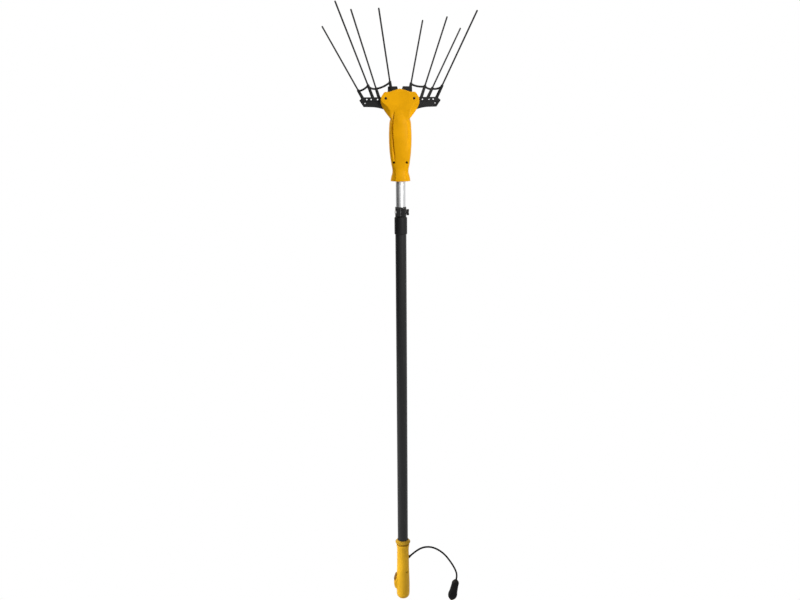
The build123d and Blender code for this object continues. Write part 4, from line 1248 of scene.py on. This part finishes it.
class HARVESTER_OT_stage(bpy.types.Operator):
    """Sets the camera, the studio light, the floor and the world"""

    bl_idname = "harvester.stage"
    bl_label = "Stage"

    def execute(self, context):
        scene = context.scene
        scene.view_settings.view_transform = "Standard"
        eye = bpy.data.cameras.new("camera")
        eye.sensor_fit = "HORIZONTAL"
        eye.sensor_width = 36.0
        eye.lens = LENS
        camera = bpy.data.objects.new("camera", eye)
        turn = Matrix.Rotation(radians(TILT), 4, "X") @ Matrix.Rotation(radians(ROLL), 4, "Z")
        camera.matrix_world = Matrix.Translation(EYE) @ turn
        scene.collection.objects.link(camera)
        scene.camera = camera
        for name, values in LAMPS.items():
            lamp(name, *values)
        self.flag()
        self.world(scene)
        self.floor()
        return {"FINISHED"}

    def world(self, scene):
        """White to the eye, to mirrors and to clear things; a softer light on everything else."""
        world = bpy.data.worlds.new("studio")
        scene.world = world
        world.use_nodes = True
        tree = world.node_tree
        tree.nodes.clear()
        soft = add(tree, "Background", Color=WHITE, Strength=SOFT_SKY)
        white = add(tree, "Background", Color=WHITE, Strength=1.0)
        end = tree.nodes.new("ShaderNodeOutputWorld")
        blend_shaders(tree, seen_rays(tree), soft, white, end)

    def flag(self):
        """Grey flag at the left of the upper pole, which only mirrors and soft light meet.

        Its grid is a flat sheet, across its length and its height.
        """
        y, z = np.meshgrid(np.linspace(*FLAG_Y, 4), np.linspace(*FLAG_Z, 3), indexing="ij")
        sheet = np.stack([np.full_like(y, FLAG_X), y, z], -1)
        flag = place("flag", skin("flag", [sheet]))
        material, tree, shader, place_of = new_material("flag_cloth")
        weave = noise(tree, place_of["Object"], 30.0)
        shade = mix(tree, weave, rgba((0.10, 0.10, 0.10)), rgba((0.13, 0.13, 0.13)))
        dress(tree, shader, shade, 1.0, FULL_GLOSS)
        flag.data.materials.append(material)
        flag.visible_camera = False

    def floor(self):
        """Pale round floor: rings about the pole's axis, white to the eye, with shade round the pole."""
        profile = [(radius, FLOOR / MM) for radius in FLOOR_RINGS]
        floor = solid("floor", [turned(profile, (0, 0, 0), UP, (1, 0, 0), 64)])
        material, tree, shader, place_of = new_material("floor_paint")
        speck = noise(tree, place_of["Object"], 9.0, 3.0)
        shade = mix(tree, speck, rgba((0.86, 0.86, 0.86)), rgba((0.9, 0.9, 0.9)))
        dress(tree, shader, shade, 0.9, FULL_GLOSS)
        out = add(tree, "VectorMath", operation="LENGTH", Vector=place_of["Object"])
        share = between(tree, out.outputs["Value"], SHADE_IN, SHADE_OUT, SHADE_LEAST, 1.0)
        seen = times(tree, seen_rays(tree), share)
        glow = add(tree, "Emission", Color=WHITE, Strength=1.0)
        end = next(node for node in tree.nodes if node.bl_idname == "ShaderNodeOutputMaterial")
        blend_shaders(tree, seen, shader, glow, end)
        floor.data.materials.append(material)


OPERATORS = (HARVESTER_OT_stage, HARVESTER_OT_supply, HARVESTER_OT_finishes, HARVESTER_OT_head,
             HARVESTER_OT_handle, HARVESTER_OT_collar, HARVESTER_OT_switch, HARVESTER_OT_lead,
             HARVESTER_OT_rods, HARVESTER_OT_fasteners)


class HARVESTER_PT_build(bpy.types.Panel):
    """Lists the harvester's pieces"""

    bl_idname = "HARVESTER_PT_build"
    bl_label = "Olive harvester"
    bl_space_type = "VIEW_3D"
    bl_region_type = "UI"
    bl_category = "Harvester"

    def draw(self, context):
        column = self.layout.column()
        for operator in OPERATORS:
            column.operator(operator.bl_idname)
        for group in (context.scene.harvester_sizes, context.scene.harvester_colours):
            for name in group.bl_rna.properties.keys():
                if name not in ("rna_type", "name"):
                    column.prop(group, name)


CLASSES = (HarvesterSizes, HarvesterColours, *OPERATORS, HARVESTER_PT_build)


def register():
    for item in CLASSES:
        bpy.utils.register_class(item)
    bpy.types.Scene.harvester_sizes = PointerProperty(type=HarvesterSizes)
    bpy.types.Scene.harvester_colours = PointerProperty(type=HarvesterColours)


def unregister():
    del bpy.types.Scene.harvester_colours
    del bpy.types.Scene.harvester_sizes
    for item in reversed(CLASSES):
        bpy.utils.unregister_class(item)


def main():
    register()
    bpy.ops.harvester.stage()
    bpy.ops.harvester.supply()
    bpy.ops.harvester.finishes()
    bpy.ops.harvester.head()
    bpy.ops.harvester.handle()
    bpy.ops.harvester.collar()
    bpy.ops.harvester.switch()
    bpy.ops.harvester.lead()
    bpy.ops.harvester.rods()
    bpy.ops.harvester.fasteners()


if __name__ == "__main__":
    main()
